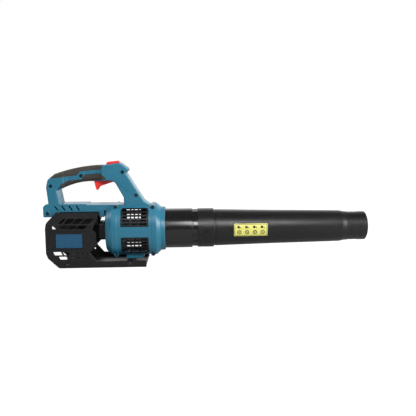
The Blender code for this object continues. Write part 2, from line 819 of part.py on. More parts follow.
def leaning(low_x, high_x, low_z, high_z, lean):
    """Parallelogram between two heights, given by its lower edge."""
    shift = lean * (high_z - low_z)
    return [
        (low_x, low_z, 0.0), (high_x, low_z, 0.0), (high_x + shift, high_z, 0.0),
        (low_x + shift, high_z, 0.0),
    ]


def guard_slots():
    """Every opening through the sides of the guard."""
    outlines = [
        [(-125.0, 101.5, 0.0), (-114.5, 101.5, 0.0), (-125.0, 111.0, 0.0)],
        [(-112.0, 113.5, 0.0), (-103.0, 113.5, 0.0), (-91.0, 126.5, 0.0), (-100.0, 126.5, 0.0)],
    ]
    for i in range(3):
        outlines.append(leaning(-111.0 + 22.0 * i, -92.0 + 22.0 * i + 3.0 * (i == 2), 101.0, 110.5, RIB_SLOPE))
        outlines.append(leaning(-99.0 + 22.0 * i, -80.0 + 22.0 * i + 3.0 * (i == 2), 113.5, 126.5, RIB_SLOPE))
    outlines += [
        leaning(-121.0, -101.0, 33.5, 42.5, -0.5), leaning(-97.0, -82.0, 33.5, 42.5, -0.5),
        leaning(-107.5, -88.0, 22.0, 30.0, -0.5),
    ]
    for i in range(4):
        outlines.append(box_corners(-76.0 + 11.6 * i, 35.5, -72.0 + 11.6 * i, 40.0))
        outlines.append(box_corners(-76.0 + 11.6 * i, 24.0, -72.0 + 11.6 * i, 28.5))
    return cutter("guard_slots", slab("guard_slots", [rounded(points) for points in outlines], -90.0, 90.0))


GUARD_SLOTS = guard_slots()
BEAM_CLEARANCE = cutter("beam_clearance", frame_slab("beam_clearance", BEAM, FRAME_DEPTH, -GAP, 0.0))


def guard(side):
    """Side guard of the battery bay with the skid rail along its foot, bent from the beam outwards."""
    sign = SIDES[side]
    name = "guard_" + side
    wall = GUARD_WALL
    section = [
        (29.0, 140.7), (40.0, 140.7), (GUARD_OUT, 113.0), (GUARD_OUT, 14.0), (RAIL_OUT, 13.0), (RAIL_OUT, -10.0),
        (GUARD_OUT - wall, -10.0), (GUARD_OUT - wall, 111.8), (38.4, 137.3), (29.0, 137.3),
    ]
    part = place(name, slab(name, [[(sign * y, z) for y, z in section]], -160.0, 130.0, "YZ"), BLACK)
    form = cutter(name + "_form", slab(name + "_form", [rounded(GUARD)], -80.0, 80.0))
    boolean(part, form, "INTERSECT", "MANIFOLD")
    boolean(part, BEAM_CLEARANCE, solver="MANIFOLD")
    boolean(part, GUARD_SLOTS, solver="MANIFOLD")
    ends = sorted((sign * 50.0, sign * 80.0))
    wells = sorted((sign * (RAIL_OUT - 1.6), sign * 80.0))
    spots = [(x, 8.0) for x in CROSSBARS_X]
    boolean(part, cutter(name + "_bores", rods(name + "_bores", spots, 2.2, *ends, sides=8)), solver="MANIFOLD")
    boolean(part, cutter(name + "_wells", rods(name + "_wells", spots, COUNTERBORE, *wells, sides=12)), solver="MANIFOLD")
    return merge_flat(part)


def skid_base():
    """Plate between the two rails, with a bar across it at each pair of screws."""
    half = GUARD_OUT - GUARD_WALL - GAP
    part = place("skid_base", block("skid_base", (-108.0, -half, 0.0), (SKID_END - 1.0, half, 3.2)), BLACK)
    for i, x in enumerate(CROSSBARS_X):
        name = "crossbar_%d" % i
        boolean(part, cutter(name, block(name, (x - 9.0, -half, 1.0), (x + 9.0, half, 15.1))), "UNION")
        name = "crossbar_hollow_%d" % i
        boolean(part, cutter(name, block(name, (x - 6.0, 20.0 - half, 4.0), (x + 6.0, half - 20.0, 12.1))))
    spots = [(x, 8.0) for x in CROSSBARS_X]
    boolean(part, cutter("base_bores", rods("base_bores", spots, SCREW_SHANK + GAP, -80.0, 80.0, sides=8)))
    return part


def badge(side):
    """Blank plate on the side of the guard."""
    near, far = sorted((SIDES[side] * (GUARD_OUT + GAP), SIDES[side] * (GUARD_OUT + 1.4)))
    outline = [rounded(box_corners(-116.0, 53.0, -50.0, 88.5, 2.0))]
    return place("badge_" + side, slab("badge_" + side, outline, near, far), BADGE)


def battery_shoe():
    """Channel under the beam that a battery slides into from behind."""
    low, high = SHOE_Z
    section = [
        (-SHOE_HALF, high), (-SHOE_HALF, low), (-20.0, low), (-20.0, low + 5.0), (-24.5, low + 5.0),
        (-24.5, 129.0), (24.5, 129.0), (24.5, low + 5.0), (20.0, low + 5.0), (20.0, low), (SHOE_HALF, low),
        (SHOE_HALF, high),
    ]
    part = place("battery_shoe", slab("battery_shoe", [section], *SHOE_X, "YZ"), BLACK)
    boolean(part, cutter("shoe_lead", block("shoe_lead", (-42.0, -6.0, 120.0), (-30.0, 6.0, 150.0))))
    return part


def battery_stop():
    """Cushioned block on the barrel's rear face that the battery's front comes up against."""
    rear, front = STOP_X
    corners = box_corners(-26.0, 65.0, 26.0, 112.0, 8.0)
    part = place("battery_stop", slab("battery_stop", [rounded(corners)], rear, front, "YZ"), BLACK)
    pad = slab("stop_pad", [rounded(inset(corners, 5.0))], rear - 2.0, rear + 2.0, "YZ")
    return boolean(part, cutter("stop_pad", pad), "UNION")


def beam_damper():
    """Foam block that fills the hollow beam behind its slots."""
    return place("beam_damper", block("beam_damper", (-132.0, -14.0, 144.5), (-62.0, 14.0, 158.5)), BLACK)


def terminals():
    """Contact block of the battery bay with its two blades."""
    block_part = place("terminal_block", block("terminal_block", (-46.0, -14.0, 116.0), (-24.0, 14.0, 128.7)), NYLON)
    boolean(block_part, cutter("block_lead", block("block_lead", (-41.0, -5.0, 121.0), (-31.0, 5.0, 140.0))))
    for side, sign in SIDES.items():
        low, high = sorted((sign * 8.0, sign * 9.0))
        place("terminal_" + side, block("terminal_" + side, (-62.0, low, 118.0), (-46.3, high, 126.0)), COPPER)


for side_name, side_sign in SIDES.items():
    guard(side_name)
    badge(side_name)
    for index, bar_x in enumerate(CROSSBARS_X):
        screw_name = "guard_screw_%s_%d" % (side_name, index + 1)
        screw(screw_name, bar_x, 8.0, side_sign * (RAIL_OUT - 1.6 + GAP), 14.0, side_sign)
skid_base()
battery_shoe()
battery_stop()
beam_damper()
terminals()


# ---------------------------------------------------------------- inlet grilles


def grille(side, level):
    """Curved grille that fills one inlet window, with three columns of five slots."""
    name = "inlet_grille_%s_%s" % (level, side)
    up = 1 if level == "upper" else -1
    low, high = WINDOW_Z
    first, last = WINDOW_X
    part = place(name, barrel_mesh(name, 1.4, RING_FRONT), BLACK)
    ends = sorted((SIDES[side] * 20.0, SIDES[side] * 80.0))
    outline = [
        (first + GAP, AXIS_Z + up * (low + GAP), 2), (last - GAP, AXIS_Z + up * (low + GAP), 2),
        (last - GAP, AXIS_Z + up * (high - 5.2), 1), (last - 5.2, AXIS_Z + up * (high - GAP), 1),
        (first + 5.2, AXIS_Z + up * (high - GAP), 1), (first + GAP, AXIS_Z + up * (high - 5.2), 1),
    ]
    area_name = name + "_area"
    keep = cutter(area_name, slab(area_name, [rounded(outline)], *ends))
    slots = []
    for start, end in ((52.0, 71.0), (74.5, 91.5), (95.0, 113.5)):
        for row in range(5):
            base = AXIS_Z + up * (low + 5.0 + 8.3 * row)
            bottom, top = sorted((base, base + up * 4.6))
            slots.append(rounded(box_corners(start, bottom, end, top)))
    slot_name = name + "_slots"
    tool = cutter(slot_name, slab(slot_name, slots, -90.0, 90.0))
    for operation, other in (("INTERSECT", keep), ("DIFFERENCE", GRILLE_BACK), ("DIFFERENCE", tool)):
        boolean(part, other, operation, "MANIFOLD")
    return merge_flat(part)


GRILLE_BACK = cutter("grille_back", barrel_mesh("grille_back", 4.2, RING_FRONT))
for side_name in SIDES:
    grille(side_name, "upper")
    grille(side_name, "lower")


# ---------------------------------------------------------------- duct and nozzle


def duct_radius(x):
    """Outer radius of the nozzle tube."""
    share = (x - COLLAR_END) / (SHOULDER_START - COLLAR_END)
    return 49.3 - 7.1 * share - 0.9 * math.sin(math.pi * share) ** 2 * (1 - share)


def fan_duct():
    """Glossy duct round the fan, with a bell mouth behind it and the neck that the nozzle slides on."""
    flange = RING_RADIUS - 3.6
    return turned(
        "fan_duct",
        [
            (DUCT_REAR, DUCT_BORE + 3.6), (DUCT_REAR + 1.5, DUCT_RADIUS - 0.6), (145.0, DUCT_RADIUS - 0.6),
            (145.0, flange), (148.0, flange), (148.0, DUCT_RADIUS), (DUCT_STEP - 1.0, DUCT_RADIUS),
            (DUCT_STEP, DUCT_RADIUS - 1.0), (DUCT_STEP, NECK_RADIUS), (NECK_END - 1.0, NECK_RADIUS),
            (NECK_END, NECK_RADIUS - 1.0), (NECK_END, NECK_RADIUS - 3.0), (DUCT_STEP + 4.0, NECK_RADIUS - 3.0),
            (DUCT_STEP, DUCT_BORE), (DUCT_REAR + 6.0, DUCT_BORE), (DUCT_REAR + 1.5, DUCT_BORE + 1.2),
        ],
        GLOSS,
        32,
    )


def nozzle_tube():
    """Long tapered tube with the collar that slides over the duct's neck."""
    bore = NECK_RADIUS + GAP
    outer = [
        (COLLAR_START, COLLAR_RADIUS - 0.6), (COLLAR_START + 0.6, COLLAR_RADIUS), (COLLAR_END - 0.8, COLLAR_RADIUS),
        (COLLAR_END, COLLAR_RADIUS - 0.8), (COLLAR_END + 1.0, 48.6), (COLLAR_END + 3.6, 48.6),
    ]
    body = [(x, duct_radius(x)) for x in (295.0, 320.0, 370.0, 450.0, 550.0, SHOULDER_START)]
    shoulder = [(TIP_START - 12.0, 40.6), (TIP_START, TIP_RADIUS + 0.4), (TIP_START, TIP_RADIUS - 2.0)]
    inner = [(SHOULDER_START - 4.0, 42.2 - TUBE_WALL)]
    inner += [(x, radius - TUBE_WALL) for x, radius in body[::-1][1:-1]]
    socket = [(NECK_END + 4.0, 46.6), (NECK_END + 2.0, bore), (COLLAR_START, bore)]
    part = turned("nozzle_tube", outer + body + shoulder + inner + socket, SATIN, 32)
    return boolean(part, RELEASE_POCKET)


def radial(name, radius, low, high, sides=24):
    """Mesh of a cylinder that points out of the right side of the collar at the release button's angle."""
    mesh = rods(name, [(0.0, 0.0)], radius, low, high, "Z", sides)
    turn = Matrix.Rotation(math.pi / 2 + RELEASE_ANGLE, 4, "X")
    mesh.transform(Matrix.Translation((RELEASE_X * MM, 0.0, AXIS_Z * MM)) @ turn)
    return mesh


RELEASE_POCKET = cutter("release_pocket", radial("release_pocket", 8.6, COLLAR_RADIUS - 1.6, 60.0))


def nozzle_tip():
    """Narrow outlet that is pressed into the tube's end, with a rounded lip."""
    outer = TIP_RADIUS
    part = turned(
        "nozzle_tip",
        [
            (TIP_START + GAP, outer - 0.2), (TIP_END - 16.0, outer - 0.6), (TIP_END - 15.0, outer),
            (TIP_END - 2.5, outer), (TIP_END - 0.6, outer - 1.0), (TIP_END, outer - 2.2),
            (TIP_END - 0.6, outer - 3.2), (TIP_START + GAP, outer - 3.2),
        ],
        SATIN,
        32,
    )
    return part


def release_button():
    """Button on the collar that frees the nozzle."""
    name = "release_button"
    mesh = radial(name, 8.2, COLLAR_RADIUS - 0.1, COLLAR_RADIUS + 1.9)
    return place(name, mesh, BLACK, (RELEASE_X, -math.cos(RELEASE_ANGLE) * COLLAR_RADIUS, 81.0))


def label_plate():
    """Blank label on the right side of the nozzle, curved to its surface."""
    ends = (341.0, 431.0)
    profile = [(x, duct_radius(x) + lift) for lift, xs in ((0.3, ends), (1.0, ends[::-1])) for x in xs]
    part = turned("label_plate", profile, YELLOW, 96)
    area = [rounded(box_corners(ends[0] + 0.5, 74.0, ends[1] - 0.5, 107.0, 2.0))]
    keep = cutter("label_area", slab("label_area", area, -60.0, -20.0))
    return boolean(part, keep, "INTERSECT", "MANIFOLD")


fan_duct()
nozzle_tube()
nozzle_tip()
release_button()
label_plate()


# ---------------------------------------------------------------- fan and motor


def blades(name, count, root, tip, start, end, twist, thickness):
    """Mesh of thin twisted blades round the duct axis, from a root radius to a tip radius."""
    mesh = bpy.data.meshes.new(name)
    work = bmesh.new()
    for i in range(count):
        rings = []
        for step in range(3):
            share = step / 2
            radius = root + (tip - root) * share
            lean = twist * (1 - 0.35 * share)
            ring = []
            for along, across in ((0.0, -0.5), (0.5, -0.62), (1.0, -0.5), (1.0, 0.5), (0.5, 0.62), (0.0, 0.5)):
                swirl = 2 * math.pi * i / count + lean * (along - 0.5) + across * thickness / radius
                x = start + (end - start) * along
                spot = (x, radius * math.cos(swirl), AXIS_Z + radius * math.sin(swirl))
                ring.append(work.verts.new([value * MM for value in spot]))
            rings.append(ring)
        for ring, following in zip(rings, rings[1:]):
            for j in range(6):
                k = (j + 1) % 6
                work.faces.new((ring[j], ring[k], following[k], following[j]))
        work.faces.new(rings[0])
        work.faces.new(rings[-1])
    bmesh.ops.recalc_face_normals(work, faces=work.faces)
    work.to_mesh(mesh)
    work.free()
    return mesh


def impeller():
    """Axial fan: a cup hub and its blades."""
    first, last = FAN_X
    part = turned(
        "fan_impeller",
        [
            (first - 6.0, 8.0), (first - 2.0, 15.0), (first + 3.0, HUB_RADIUS), (last, HUB_RADIUS),
            (last, HUB_RADIUS - 2.5), (first + 5.0, HUB_RADIUS - 3.0), (first + 1.0, 5.0), (first + 12.0, 5.0),
            (first + 12.0, 2.8), (first - 3.0, 2.8), (first - 6.0, 5.0),
        ],
        NYLON,
        20,
    )
    mesh = blades("fan_blades", BLADES, HUB_RADIUS - 1.5, DUCT_BORE - 1.0, first + 3.5, last - 1.0, 0.75, 1.6)
    return boolean(part, cutter("fan_blades", mesh), "UNION", "MANIFOLD")


def guide_vanes():
    """Fixed vanes behind the fan, whose hub holds the motor."""
    first, last = MOTOR_X[0] - 1.5, MOTOR_X[1] + 2.0
    hub = MOTOR_RADIUS + 3.0
    part = turned(
        "guide_vanes",
        [
            (first, MOTOR_RADIUS + GAP), (first, hub), (last, hub), (last, MOTOR_RADIUS + GAP),
        ],
        NYLON,
        20,
    )
    ring = [(first + 2.0, DUCT_BORE - 2.2), (first + 2.0, DUCT_BORE - GAP), (last - 4.0, DUCT_BORE - GAP),
            (last - 4.0, DUCT_BORE - 2.2)]
    tools = (
        cutter("vanes", blades("vanes", VANES, hub - 1.5, DUCT_BORE - 1.4, first + 3.0, last - 6.0, -0.5, 1.8)),
        turned("vane_ring", ring, None, 32, CUTTERS),
    )
    for tool in tools:
        boolean(part, tool, "UNION", "MANIFOLD")
    return part


def motor():
    """Brushless motor: can, end cap, stator, rotor, shaft and two bearings."""
    first, last = MOTOR_X
    radius = MOTOR_RADIUS
    turned(
        "motor_can",
        [
            (first, 5.8), (first, radius), (last - 3.0, radius), (last - 3.0, radius - 1.5),
            (first + 6.5, radius - 1.5), (first + 6.5, 10.0), (first + 6.5, 8.0), (first + 1.5, 8.0), (first + 1.5, 5.8),
        ],
        STEEL,
        16,
    )
    turned(
        "motor_end_cap",
        [
            (last - 2.7, 8.0), (last - 2.7, radius), (last - 0.5, radius), (last - 0.5, 5.8), (last - 1.5, 5.8),
            (last - 1.5, 7.9), (last - 6.0, 7.9), (last - 6.0, 9.5), (last - 2.7, 9.5),
        ],
        ALUMINIUM,
        16,
    )
    core = [(first + 10.0, 13.2), (first + 10.0, radius - 1.8), (last - 9.0, radius - 1.8), (last - 9.0, 13.2)]
    turned("stator_core", core, LAMINATION, 16)
    magnet = [(first + 11.0, 3.3), (first + 11.0, 12.6), (last - 10.0, 12.6), (last - 10.0, 3.3)]
    turned("rotor", magnet, LAMINATION, 16)
    shaft = [(FAN_X[0] - 14.0, 0.0), (FAN_X[0] - 14.0, 2.4), (last - 2.0, 2.4), (last - 2.0, 0.0)]
    turned("motor_shaft", shaft, STEEL, 20, closed=False)
    for name, start in (("bearing_front", first + 1.8), ("bearing_rear", last - 6.0)):
        race = [(start, 3.0), (start, 7.6), (start + 4.2, 7.6), (start + 4.2, 3.0)]
        turned(name, race, STEEL, 12)


def fan_nut():
    """Nut that clamps the fan on its shaft."""
    end = FAN_X[0] - 6.3
    return turned("fan_nut", [(end - 5.0, 2.8), (end - 5.0, 5.0), (end, 5.0), (end, 2.8)], STEEL, 6)


def tail_cone():
    """Cone that closes the hub behind the motor, along the air's way out."""
    start = MOTOR_X[1] + 2.4
    hub = MOTOR_RADIUS + 3.0
    return turned(
        "tail_cone",
        [(start, hub - 2.2), (start, hub), (start + 22.0, hub - 6.0), (start + 46.0, 8.0), (start + 50.0, 4.0),
         (start + 50.0, 2.0), (start + 44.0, 5.0), (start + 20.0, hub - 8.4)],
        NYLON,
        20,
    )


impeller()
fan_nut()
guide_vanes()
motor()
tail_cone()


# ---------------------------------------------------------------- electronics


def controller():
    """Motor controller at the rear of the barrel: a finned heat sink with its circuit board."""
    sink = place("heat_sink", block("heat_sink", (20.0, -27.0, 66.0), (34.0, 27.0, 118.0)), ALUMINIUM)
    for i in range(6):
        name = "fin_gap_%d" % i
        y = -21.5 + 8.6 * i
        boolean(sink, cutter(name, block(name, (23.5, y - 2.6, 60.0), (40.0, y + 2.6, 124.0))))
    place("control_board", block("control_board", (17.8, -30.0, 62.0), (19.6, 30.0, 121.0)), BOARD)


def lead(name, route, radius, material):
    """A wire along a smooth route."""
    curve = bpy.data.curves.new(name, "CURVE")
    curve.dimensions = "3D"
    curve.bevel_depth = radius * MM
    curve.bevel_resolution = 0
    curve.use_fill_caps = True
    points = []
    for i in range(len(route) - 1):
        before, start = route[max(i - 1, 0)], route[i]
        end, after = route[i + 1], route[min(i + 2, len(route) - 1)]
        for step in range(2):
            t = step / 2
            points.append([
                0.5 * (2 * b + (c - a) * t + (2 * a - 5 * b + 4 * c - d) * t * t + (3 * b - a - 3 * c + d) * t ** 3)
                for a, b, c, d in zip(before, start, end, after)
            ])
    points.append(route[-1])
    spline = curve.splines.new("POLY")
    spline.points.add(len(points) - 1)
    for spot, point in zip(spline.points, points):
        spot.co = (*[value * MM for value in point], 1.0)
    return place(name, curve_mesh(curve), material)


controller()
lead(
    "battery_lead",
    [(-36.0, 0.0, 126.0), (-36.0, 0.0, 140.0), (-33.0, 0.0, 148.0), (-22.0, 0.0, 152.0), (-5.0, 0.0, 152.0),
     (10.0, 0.0, 152.0), (20.0, 0.0, 148.0), (23.0, 0.0, 138.0), (20.0, 0.0, 128.0), (18.7, 0.0, 121.6)],
    1.6,
    RED,
)
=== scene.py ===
"""Looks of the cordless leaf blower: fine shells, guards, duct and nozzle, with their materials.

Sizes are in millimetres and become metres as each shape is made. The duct's axis is read from the
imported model, and every other size here agrees with that model's.
"""

import json
import math
from contextlib import contextmanager

import bmesh
import bpy
from mathutils import Matrix, Vector

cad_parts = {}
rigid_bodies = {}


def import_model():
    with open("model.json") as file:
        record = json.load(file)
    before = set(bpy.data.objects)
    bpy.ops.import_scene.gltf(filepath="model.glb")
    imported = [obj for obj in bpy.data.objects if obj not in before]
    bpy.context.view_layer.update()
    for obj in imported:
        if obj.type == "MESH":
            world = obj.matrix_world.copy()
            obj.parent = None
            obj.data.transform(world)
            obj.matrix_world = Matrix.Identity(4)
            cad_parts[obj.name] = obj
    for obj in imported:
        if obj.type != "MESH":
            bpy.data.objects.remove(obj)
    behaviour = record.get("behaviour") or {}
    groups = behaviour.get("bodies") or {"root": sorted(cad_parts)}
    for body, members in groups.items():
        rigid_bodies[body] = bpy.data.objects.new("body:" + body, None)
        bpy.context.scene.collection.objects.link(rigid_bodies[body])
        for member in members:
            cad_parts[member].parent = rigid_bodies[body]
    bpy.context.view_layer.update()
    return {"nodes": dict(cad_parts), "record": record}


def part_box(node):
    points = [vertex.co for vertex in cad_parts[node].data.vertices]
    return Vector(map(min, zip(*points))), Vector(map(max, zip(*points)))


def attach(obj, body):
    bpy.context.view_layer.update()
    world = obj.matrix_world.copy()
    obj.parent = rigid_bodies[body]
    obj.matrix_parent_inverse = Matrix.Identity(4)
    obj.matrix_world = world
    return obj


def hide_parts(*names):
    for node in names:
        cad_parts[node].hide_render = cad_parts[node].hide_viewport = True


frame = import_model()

MM = 0.001

WELD = 1e-6  # m
SHARP = 0.5  # radians: edges sharper than this are softened
FLAT = math.radians(0.1)  # faces at a smaller angle are one face
CREASE = math.radians(32)  # edges sharper than this keep their crease when shaded
ROUND = 144  # faces round a large turned shape
GAP = 0.3  # clearance between pieces that touch
WALL = 3.2  # body shells
SIDES = {"right": -1, "left": 1}

# Duct axis and the fan barrel of the body
AXIS_Z = sum(corner[2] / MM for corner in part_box("nozzle_tip")) / 2
BARREL_REAR = 6
BARREL_HEIGHT = 69  # half its height
BARREL_WIDTH = 64  # half its width
BARREL_POWER = 2.4  # superellipse power of its section
SHOULDER_FRONT = 150
RING_FRONT = 161
RING_RADIUS = 58

# Handle frame
FRAME_DEPTH = 32  # half depth of the beam
POST_DEPTH = 31.3  # of the rear post
HEAD_DEPTH = 28
GRIP_DEPTH = 19.5
BEAM_BOTTOM = 141
BEAM_TOP = 162
REAR = -154
HEAD_TOP = 268
PAD = 1.6  # rubber grip pads

# Inlet windows
WINDOW_X = (47, 119)
WINDOW_Z = (13.5, 60)  # from the duct axis, above and below

# Guards, skid and battery stop, with depths from the middle plane
GUARD_OUT = 62
GUARD_WALL = 3.3
RAIL_OUT = 63.6
RAIL_TOP = 16
SKID_END = 112
GUARD_SCREWS = ((-91, 8), (69, 8))  # x and z; a crossbar of the skid joins each pair
GUARD_SEAT = RAIL_OUT - 1.6  # under their heads
STOP_X = (-12, BARREL_REAR - GAP)

# Fan and nozzle, by distance along X
DUCT_RADIUS = 53
DUCT_BORE = 49.6
DUCT_REAR = 98
DUCT_STEP = 233
NECK_RADIUS = 49
NECK_END = 287
COLLAR_START = 247
COLLAR_END = 290
COLLAR_RADIUS = 52.2
TUBE_WALL = 2.3
SHOULDER_START = 634
TIP_START = 656
TIP_END = 704
TIP_RADIUS = 38.8
LABEL_X = (341, 431)
FAN_X = (150, 176)
HUB_RADIUS = 21
BLADES = 9
VANES = 7
MOTOR_X = (181, 226)
MOTOR_RADIUS = 22

# Controls
TRIGGER_PIVOT = (24, 226)
TRIGGER_HALF = 7.2
PIN_BORE = 2.3  # radius
BUTTON_HALF = 9
RELEASE_X = 273
RELEASE_ANGLE = math.radians(11)  # below the horizontal on the right side

# Screws, by radius, then each one's x, z and outer face
SCREW_HEAD = 4.3
SCREW_SHANK = 1.7
COUNTERBORE = 4.8
BOSS = 6.2
HEAD_DOWN = 7  # depth of a head's seat below the outer face
BODY_SCREWS = (
    (-132, 209, POST_DEPTH), (-56, 234.5, GRIP_DEPTH), (52, 244, HEAD_DEPTH), (86, 183, HEAD_DEPTH),
    (-143, 137, FRAME_DEPTH), (33, 154, 42), (129, 152.5, 42), (33, 29.5, 42), (129, 29.5, 42),
)


# ---- collections


def collection(name):
    """A new collection under the scene's own."""
    made = bpy.data.collections.new(name)
    bpy.context.scene.collection.children.link(made)
    return made


PIECES = collection("pieces")
TOOLS = collection("tools")


# ---- outlines


def rounded(corners, segments=6):
    """Outline points from (u, v, radius) corners, each with a radius turned into an arc."""
    points = []
    count = len(corners)
    for i, (u, v, radius) in enumerate(corners):
        before = corners[i - 1]
        after = corners[(i + 1) % count]
        if radius <= 0:
            points.append((u, v))
            continue
        in_u, in_v = before[0] - u, before[1] - v
        out_u, out_v = after[0] - u, after[1] - v
        in_length = math.hypot(in_u, in_v)
        out_length = math.hypot(out_u, out_v)
        in_u, in_v = in_u / in_length, in_v / in_length
        out_u, out_v = out_u / out_length, out_v / out_length
        angle = math.acos(max(-1, min(1, in_u * out_u + in_v * out_v)))
        reach = min(radius / math.tan(angle / 2), 0.49 * in_length, 0.49 * out_length)
        radius = reach * math.tan(angle / 2)
        bisector_u, bisector_v = in_u + out_u, in_v + out_v
        length = math.hypot(bisector_u, bisector_v)
        away = radius / math.sin(angle / 2) / length
        centre_u, centre_v = u + bisector_u * away, v + bisector_v * away
        start = math.atan2(v + in_v * reach - centre_v, u + in_u * reach - centre_u)
        end = math.atan2(v + out_v * reach - centre_v, u + out_u * reach - centre_u)
        sweep = (end - start + math.pi) % (2 * math.pi) - math.pi
        steps = segments if radius > 1 else 3
        for step in range(steps + 1):
            turn = start + sweep * step / steps
            points.append((centre_u + radius * math.cos(turn), centre_v + radius * math.sin(turn)))
    return points


def area(points):
    """Signed area of a closed outline, positive when it runs anticlockwise."""
    total = 0
    for (u0, v0, *_), (u1, v1, *_) in zip(points, points[1:] + points[:1]):
        total += u0 * v1 - u1 * v0
    return total / 2


def inset(corners, distance):
    """The same (u, v, radius) corners moved inwards by a distance, outwards when it is negative."""
    if distance == 0:
        return list(corners)
    if area(corners) < 0:
        corners = corners[::-1]
    moved = []
    count = len(corners)
    for i, (u, v, radius) in enumerate(corners):
        pu, pv = corners[i - 1][:2]
        nu, nv = corners[(i + 1) % count][:2]
        a_length, b_length = math.hypot(u - pu, v - pv), math.hypot(nu - u, nv - v)
        a = ((u - pu) / a_length, (v - pv) / a_length)
        b = ((nu - u) / b_length, (nv - v) / b_length)
        turn = a[0] * b[1] - a[1] * b[0]
        normal = (-a[1] - b[1], a[0] + b[0])
        scale = distance / (1 + a[0] * b[0] + a[1] * b[1])
        if radius > 0:
            radius = max(radius - distance if turn > 0 else radius + distance, 0.4)
        moved.append((u + normal[0] * scale, v + normal[1] * scale, radius))
    return moved


def span(sign, near, far):
    """Low and high end of a stretch that lies from near to far on one side of the middle plane."""
    return sorted((sign * near, sign * far))


def box_corners(low_u, low_v, high_u, high_v, radius=0):
    """Corners of a rectangle."""
    return [
        (low_u, low_v, radius), (high_u, low_v, radius), (high_u, high_v, radius),
        (low_u, high_v, radius)
    ]


# ---- shapes

# How an outline's own u, v and thickness directions lie in the world
PLANES = {
    "XZ": Matrix(((1, 0, 0), (0, 0, -1), (0, 1, 0))).to_4x4(),
    "YZ": Matrix(((0, 0, 1), (1, 0, 0), (0, 1, 0))).to_4x4(),
    "XY": Matrix.Identity(4),
}


def place(name, data):
    """An object for this mesh, as a piece that stands for the CAD node of that name."""
    thing = bpy.data.objects.new(name + "_fine", data)
    PIECES.objects.link(thing)
    thing["node"] = name
    return thing


def helper(mesh):
    """A tool for Booleans, which is removed once the pieces are baked."""
    thing = bpy.data.objects.new("tool", mesh)
    TOOLS.objects.link(thing)
    return thing


@contextmanager
def editing(mesh):
    """Opens a mesh for changes and writes them back at the end."""
    work = bmesh.new()
    work.from_mesh(mesh)
    yield work
    work.to_mesh(mesh)
    work.free()


def empty_mesh():
    """A new mesh with nothing in it."""
    return bpy.data.meshes.new("shape")


def outwards(mesh):
    """Welds loose caps and turns every face outwards."""
    with editing(mesh) as work:
        bmesh.ops.remove_doubles(work, verts=work.verts, dist=WELD)
        bmesh.ops.recalc_face_normals(work, faces=work.faces)
    return mesh


def curve_mesh(curve):
    """The welded mesh of a curve, which is then removed."""
    holder = bpy.data.objects.new("holder", curve)
    PIECES.objects.link(holder)
    bpy.context.view_layer.update()
    graph = bpy.context.evaluated_depsgraph_get()
    mesh = bpy.data.meshes.new_from_object(holder.evaluated_get(graph))
    bpy.data.objects.remove(holder)
    bpy.data.curves.remove(curve)
    return outwards(mesh)


def slab(outlines, low, high, plane="XZ"):
    """Mesh of a flat outline and its holes, as thick as from low to high across its plane."""
    curve = bpy.data.curves.new("outline", "CURVE")
    curve.dimensions = "2D"
    curve.fill_mode = "BOTH"
    curve.extrude = (high - low) / 2 * MM
    for points in outlines:
        spline = curve.splines.new("POLY")
        spline.points.add(len(points) - 1)
        for spot, (u, v) in zip(spline.points, points):
            spot.co = (u * MM, v * MM, 0, 1)
        spline.use_cyclic_u = True
    mesh = curve_mesh(curve)
    middle = (low + high) / 2 * (-MM if plane == "XZ" else MM)
    mesh.transform(PLANES[plane] @ Matrix.Translation((0, 0, middle)))
    return mesh


def soften(mesh, width, reach):
    """Bevels the outlines of both faces that lie this far (in mm) from the middle plane."""
    with editing(mesh) as work:
        edges = []
        for edge in work.edges:
            off = [abs(abs(vert.co.y) - reach * MM) for vert in edge.verts]
            if max(off) < WELD and edge.calc_face_angle(0) > SHARP:
                edges.append(edge)
        bmesh.ops.bevel(
            work, geom=edges, offset=width * MM, segments=4, profile=0.5, affect="EDGES"
        )
    return mesh


def block(low, high):
    """Mesh of a box between two corners."""
    mesh = empty_mesh()
    size = [(b - a) * MM for a, b in zip(low, high)]
    middle = [(a + b) / 2 * MM for a, b in zip(low, high)]
    with editing(mesh) as work:
        bmesh.ops.create_cube(work, size=1)
        bmesh.ops.scale(work, vec=size, verts=work.verts)
        bmesh.ops.translate(work, vec=middle, verts=work.verts)
    return mesh


def ball(middle, radius, around):
    """Mesh of a ball, with this many faces around it and half as many from pole to pole."""
    mesh = empty_mesh()
    with editing(mesh) as work:
        bmesh.ops.create_uvsphere(
            work, u_segments=around, v_segments=around // 2, radius=radius * MM
        )
    mesh.transform(Matrix.Translation(Vector(middle) * MM))
    return mesh


def rods(spots, radius, low, high, axis="Y", sides=40):
    """Mesh of one or more cylinders through (u, v) spots, from low to high along an axis."""
    mesh = empty_mesh()
    along = (low + high) / 2
    with editing(mesh) as work:
        for u, v in spots:
            middle, turn = {
                "X": ((along, u, v), Matrix.Rotation(math.pi / 2, 4, "Y")),
                "Y": ((u, along, v), Matrix.Rotation(math.pi / 2, 4, "X")),
                "Z": ((u, v, along), Matrix.Identity(4)),
            }[axis]
            spot = Matrix.Translation([value * MM for value in middle]) @ turn
            bmesh.ops.create_cone(work, cap_ends=True, segments=sides, radius1=radius * MM,
                                  radius2=radius * MM, depth=(high - low) * MM, matrix=spot)
    return mesh


def superellipse(x, half_y, half_z, power, centre_z, count):
    """Points of one section across X, as (x, y, z)."""
    points = []
    for i in range(count):
        angle = 2 * math.pi * i / count
        cosine, sine = math.cos(angle), math.sin(angle)
        y = half_y * math.copysign(abs(cosine) ** (2 / power), cosine)
        z = centre_z + half_z * math.copysign(abs(sine) ** (2 / power), sine)
        points.append((x, y, z))
    return points


